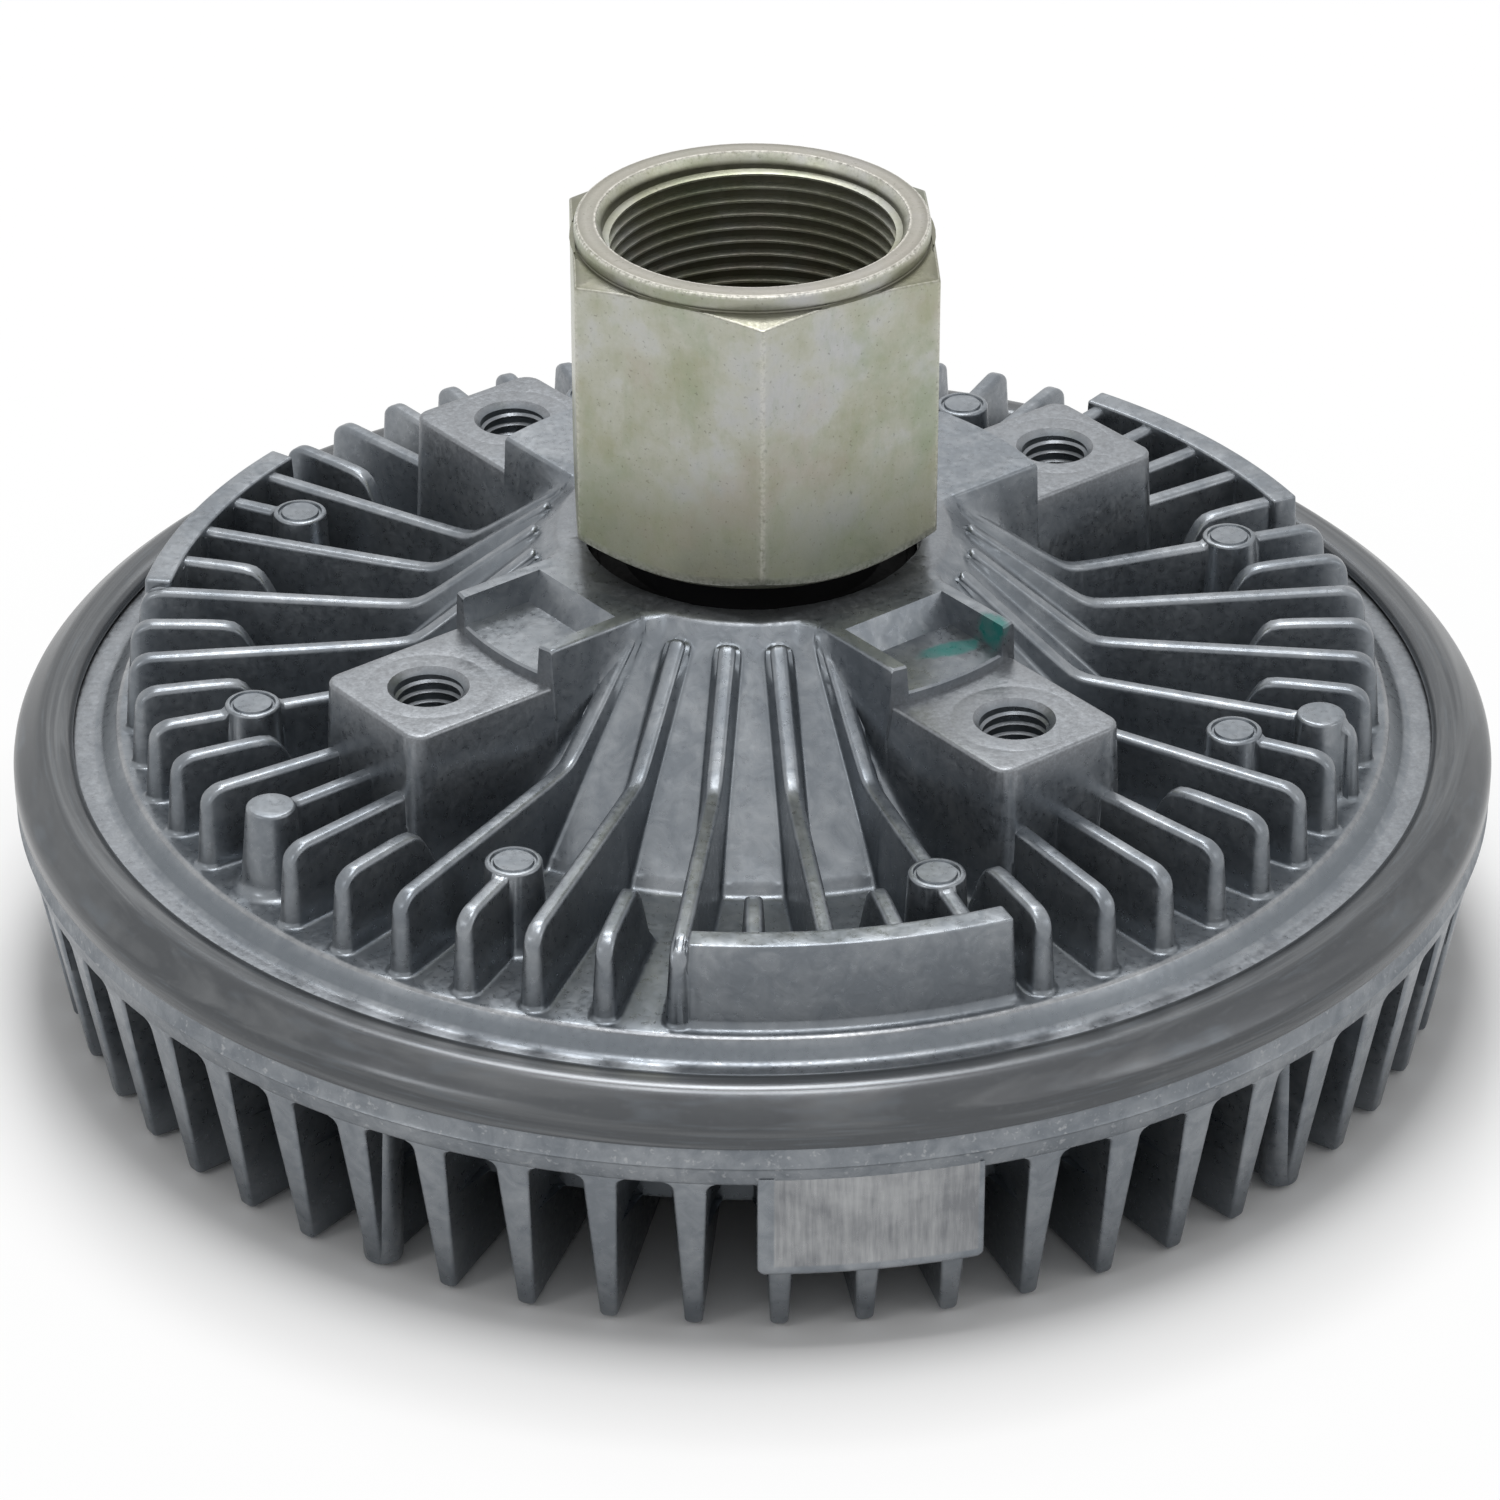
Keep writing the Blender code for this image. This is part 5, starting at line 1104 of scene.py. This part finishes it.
nutSettings = {
    "flats": 48.0,
    "cornerRound": 0.5,
    "cornerAngle": -80.9,
    "flatColumns": 18,
    "arcColumns": 5,
    "top": 110.8,
    "base": 67.3,
    "collarRadius": 23.7,
    "shoulder": 108.6,
    "shoulderFall": 0.225,
    "bevelRise": 0.676,
    "bevelRadius": 23.0,
    "edge": 0.28,
    # shaft and neck below the hexagon: radius and height
    "neck": ((0.0, 24.5), (13.0, 24.5), (13.2, 24.7), (13.2, 25.7), (11.0, 25.8), (11.0, 46.5), (12.2, 46.5),
             (12.2, 61.8), (15.4, 61.8), (15.6, 62.0), (15.6, 66.9), (15.9, 67.3), (22.7, 67.3),
             (23.0, 67.36)),
    # collar, end ring and socket: radius, height, rubbed bright and painted shade
    "collar": ((24.3, 108.46, 0.0, 0.8), (24.0, 108.4, 0.0, 0.9), (23.75, 108.42, 0.0, 1.0),
               (23.65, 108.6, 0.0, 0.9), (23.7, 108.9, 0.1, 0.25), (23.7, 109.6, 0.0, 0.25),
               (23.7, 110.15, 0.0, 0.2), (23.58, 110.55, 0.9, 0.0), (23.35, 110.76, 0.6, 0.0),
               (23.1, 110.8, 0.0, 0.35), (22.2, 110.8, 0.0, 0.0), (21.2, 110.8, 0.0, 0.2),
               (20.85, 110.76, 0.7, 0.0), (20.65, 110.55, 0.4, 0.1), (20.2, 109.9, 0.1, 0.3),
               (20.0, 109.5, 0.0, 0.8), (19.95, 109.2, 0.0, 0.9), (19.95, 84.2, 0.0, 1.0),
               (20.4, 83.8, 0.0, 1.0), (20.4, 81.2, 0.0, 1.0), (20.0, 80.8, 0.0, 1.0), (0.0, 80.8, 0.0, 0.8)),
}


def hexagonColumns(s):
    # places of the columns round the hexagon, and how rubbed they are near its rounded corners
    reach = (s["flats"] / 2 - s["cornerRound"]) / cos(radians(30))
    columns, corners = [], []
    for side in range(6):
        corner = s["cornerAngle"] + 60 * side
        cx, cy = polar(reach, corner)
        nx, ny = polar(reach, corner + 60)
        ex, ey = polar(s["cornerRound"], corner + 30)
        columns += arcPoints(cx, cy, s["cornerRound"], corner - 30, corner + 30, s["arcColumns"] - 1)
        corners += [0.4] * s["arcColumns"]
        for k in range(1, s["flatColumns"]):
            share = 0.5 - 0.5 * cos(pi * k / s["flatColumns"])
            columns.append((cx + (nx - cx) * share + ex, cy + (ny - cy) * share + ey))
            corners.append(0.15 if k in (1, s["flatColumns"] - 1) else 0.0)
    return columns, corners


def makeNut(s):
    columns, corners = hexagonColumns(s)
    turns = [np.degrees(np.arctan2(y, x)) for x, y in columns]
    reach = [np.hypot(x, y) for x, y in columns]
    rings, edges, paintedShades, ends = [], [], [], []

    def addRing(line, rubs, dark):
        rings.append(line)
        edges.extend(rubs)
        paintedShades.extend([dark] * len(line))
        ends.extend([1.0 if line[0][2] > s["top"] - 0.1 else 0.0] * len(line))

    def roundRing(r, z, rub=0.0, dark=0.0):
        addRing([(*polar(r, a), z) for a in turns], [rub] * len(turns), dark)

    def hexRing(share, lift, inset=0.0, rub=0.0, dark=0.0):
        # share: 0 on the bevel under the flats, 1 on the sloping shoulder over them
        line = []
        for r, a in zip(reach, turns):
            low = s["base"] + (r - s["bevelRadius"]) * s["bevelRise"]
            high = s["shoulder"] - (r - s["collarRadius"]) * s["shoulderFall"]
            line.append((*polar(r - inset, a), low + (high - low) * share + lift))
        addRing(line, [max(rub, corner) for corner in corners], dark)
    edge = s["edge"]
    for r, z in s["neck"]:
        roundRing(r, z)
    hexRing(0, -0.12, edge, 0.3)
    hexRing(0, 0.04, edge * 0.35, 0.8)
    hexRing(0, edge, 0.0, 0.5)
    for share in (0.03, 0.12, 0.3, 0.5, 0.7, 0.88, 0.97):
        hexRing(share, edge * (1 - 2 * share))
    # the rings under the collar carry painted shade on the shoulder
    hexRing(1, -edge, 0.0, 0.2, 0.15)
    hexRing(1, -edge * 0.3, edge * 0.3, 0.5, 0.6)
    hexRing(1, 0.02, edge, 0.6, 0.4)
    hexRing(1, edge * s["shoulderFall"], edge + 0.12, 0.0, 0.85)
    for row in s["collar"]:
        roundRing(*row)
    return makeObject("driveNut", *stackedBody(rings, capped=False), yellowZinc, 30,
                      {"edge": edges, "groove": paintedShades, "faced": ends})


threadSettings = {
    "socket": {"radius": 20.0, "depth": 0.95, "pitch": 2.0, "crest": 0.28, "z": 84.6, "turns": 12.2,
               "steps": 72},
    "boss": {"radius": 4.65, "depth": 0.42, "pitch": 1.5, "crest": 0.12, "z": 45.4, "turns": 8.1,
             "steps": 40},
}


def threadTree():
    # a ridge wound on the inside of a bore
    sizes = {"radius": "Bore Radius", "depth": "Thread Depth", "pitch": "Pitch", "crest": "Crest Width",
             "turns": "Turns", "x": "Place X", "y": "Place Y", "z": "Place Z"}
    tree, ids, given = newGroup("boreThread", {
        "steps": ("Steps Per Turn", "Int"), **{key: (label, "Float") for key, label in sizes.items()}})
    spiral = addNode(tree, "GeometryNodeCurveSpiral", {
        "Resolution": given["steps"], "Rotations": given["turns"], "Start Radius": given["radius"],
        "End Radius": given["radius"], "Height": given["pitch"] * given["turns"]})
    upright = addNode(tree, "GeometryNodeSetCurveNormal", {"Curve": spiral}, mode="Z_UP")
    ridge = addNode(tree, "GeometryNodeCurvePrimitiveQuadrilateral", {
        "Height": given["depth"] * 2.0, "Bottom Width": given["pitch"] * 0.94, "Top Width": given["crest"],
        "Offset": 0.0}, mode="TRAPEZOID")
    ridge = addNode(tree, "GeometryNodeTransform", {"Geometry": ridge, "Rotation": (0, 0, -pi / 2)})
    sweep = addNode(tree, "GeometryNodeCurveToMesh",
                    {"Curve": upright, "Profile Curve": ridge, "Fill Caps": True})
    place = addNode(tree, "ShaderNodeCombineXYZ", {"X": given["x"], "Y": given["y"], "Z": given["z"]})
    moved = addNode(tree, "GeometryNodeTransform", {"Geometry": sweep, "Translation": place})
    finishGroup(tree, moved, given["material"])
    return tree, ids


def makeThread(name, tree, ids, s, x, y, material):
    counts = {key: s[key] for key in ("turns", "steps")}
    lengths = {key: value * mm for key, value in {**s, "x": x, "y": y}.items() if key not in counts}
    thread = grownObject(name, tree, ids, {**lengths, **counts, "material": material}, 50)
    co = vertexArray(thread)
    rise = np.clip((s["radius"] - np.hypot(co[:, 0] - x, co[:, 1] - y)) / s["depth"], 0, 1)
    # crests lighter and roots darker: painted highlight on the crests, painted shade in the roots
    for label, mask in (("edge", 0.12 * rise), ("groove", 1 - rise), ("turned", 0.5 * rise),
                        ("shadeAndGrime", 1 - rise)):
        addMask(thread, label, mask)
    return thread


# Floor and light

stageSettings = {
    "floorSize": 6.0,
    "floorUnder": -0.0003,
    "floorTone": 0.97,
    # plain white in what the camera and reflections see of the floor: none near the object, most further out
    "glowFrom": 0.100,
    "glowTo": 0.124,
    "floorGlow": 0.85,
    "world": 0.38,
    "aim": (0, 0, 0.04),
    "lamps": (
        # name, place in metres, size in metres, watts
        ("back", (-0.12, 0.66, 1.08), 0.38, 5.2),
        ("overhead", (0.0, -0.02, 1.25), 0.45, 4.8),
        ("frontLeft", (-0.90, -0.90, 0.80), 0.35, 1.5),
        ("right", (1.10, -0.30, 0.70), 0.60, 1.2),
    ),
}


def seenRays(tree):
    seen = [addNode(tree, "ShaderNodeLightPath", out=f"Is {kind} Ray")
            for kind in ("Glossy", "Transmission", "Camera")]
    return calc("MAXIMUM", calc("MAXIMUM", *seen[:2]), seen[2])


def makeStage(s):
    half = s["floorSize"] / 2
    mesh = bpy.data.meshes.new("floor")
    corners = [(x * half, y * half, s["floorUnder"]) for x, y in ((-1, -1), (1, -1), (1, 1), (-1, 1))]
    mesh.from_pydata(corners, [], [(0, 1, 2, 3)])
    material, tree, place = newMaterial("paleFloor")
    plain = addNode(tree, "ShaderNodeBsdfPrincipled",
                    {"Base Color": (*[s["floorTone"]] * 3, 1.0), "Roughness": 0.9})
    glow = addNode(tree, "ShaderNodeEmission", {"Strength": 1.0})
    away = spread(vectorCalc("LENGTH", {0: place}, "Value"), s["glowFrom"], s["glowTo"], 0.0, s["floorGlow"])
    mixed = addNode(tree, "ShaderNodeMixShader", {0: seenRays(tree) * away, 1: plain, 2: glow})
    addNode(tree, "ShaderNodeOutputMaterial", {0: mixed})
    mesh.materials.append(material)
    floor = linkNew("floor", mesh)
    world = bpy.data.worlds.new("paleWorld")
    bpy.context.scene.world = world
    world.use_nodes = True
    tree = world.node_tree
    tree.nodes.clear()
    strength = spread(seenRays(tree), 0.0, 1.0, s["world"], 1.0)
    sky = addNode(tree, "ShaderNodeBackground", {"Color": (1, 1, 1, 1), "Strength": strength})
    addNode(tree, "ShaderNodeOutputWorld", {0: sky})
    for name, place, size, watts in s["lamps"]:
        data = bpy.data.lights.new(name, "AREA")
        data.size = size
        data.energy = watts
        lamp = linkNew(name, data)
        lamp.location = place
        lamp.rotation_euler = (Vector(s["aim"]) - Vector(place)).to_track_quat("-Z", "Y").to_euler()
    bpy.context.scene.view_settings.view_transform = "Standard"


makeCamera(cameraSettings)
makeStage(stageSettings)
print("camera and stage ready")

housing = makeHousing(housingSettings)
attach(housing, "case")
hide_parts("rear_housing")
print("rear housing:", len(housing.data.vertices), "points")

cover = makeCover(coverSettings)
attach(cover, "case")
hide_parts("front_cover")
print("front cover:", len(cover.data.vertices), "points")

seal = makeSeal(sealSettings)
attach(seal, "case")
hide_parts("bearing_seal_rear")
coil = makeCoil(coilSettings)
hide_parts("bimetal_coil")
# the tail stays in the cover's lugs and the inner end turns with the valve's slot
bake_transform(coil)
print("seal and coil ready")

nut = makeNut(nutSettings)
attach(nut, "shaft")
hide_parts("input_shaft")

boreThread, threadIds = threadTree()
socketThread = makeThread("socketThread", boreThread, threadIds, threadSettings["socket"], 0, 0, yellowZinc)
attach(socketThread, "shaft")
for number, angle in enumerate(housingSettings["bossAngles"]):
    x, y = polar(housingSettings["boltCircle"], angle)
    name = f"bossThread{number + 1}"
    thread = makeThread(name, boreThread, threadIds, threadSettings["boss"], x, y, castAluminium)
    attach(thread, "case")
print("nut and threads ready")

# looks of the solids that show as they are; a later row goes over an earlier one
for look, names in (
    (castAluminium, ("rotor",)),
    (looks["groundSteel"], ("bearing_outer_ring", "bearing_inner_ring", "bearing_ball")),
    (looks["cageNylon"], ("bearing_cage", "wiper")),
    (looks["rolledSteel"], ("bearing_retaining_ring", "pump_plate", "valve_shaft", "valve_arm")),
    (looks["blackRubber"], ("bearing_seal_front", "rim_o_ring", "valve_shaft_o_ring")),
):
    for name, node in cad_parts.items():
        if name.startswith(names):
            node.data.materials.clear()
            node.data.materials.append(look)
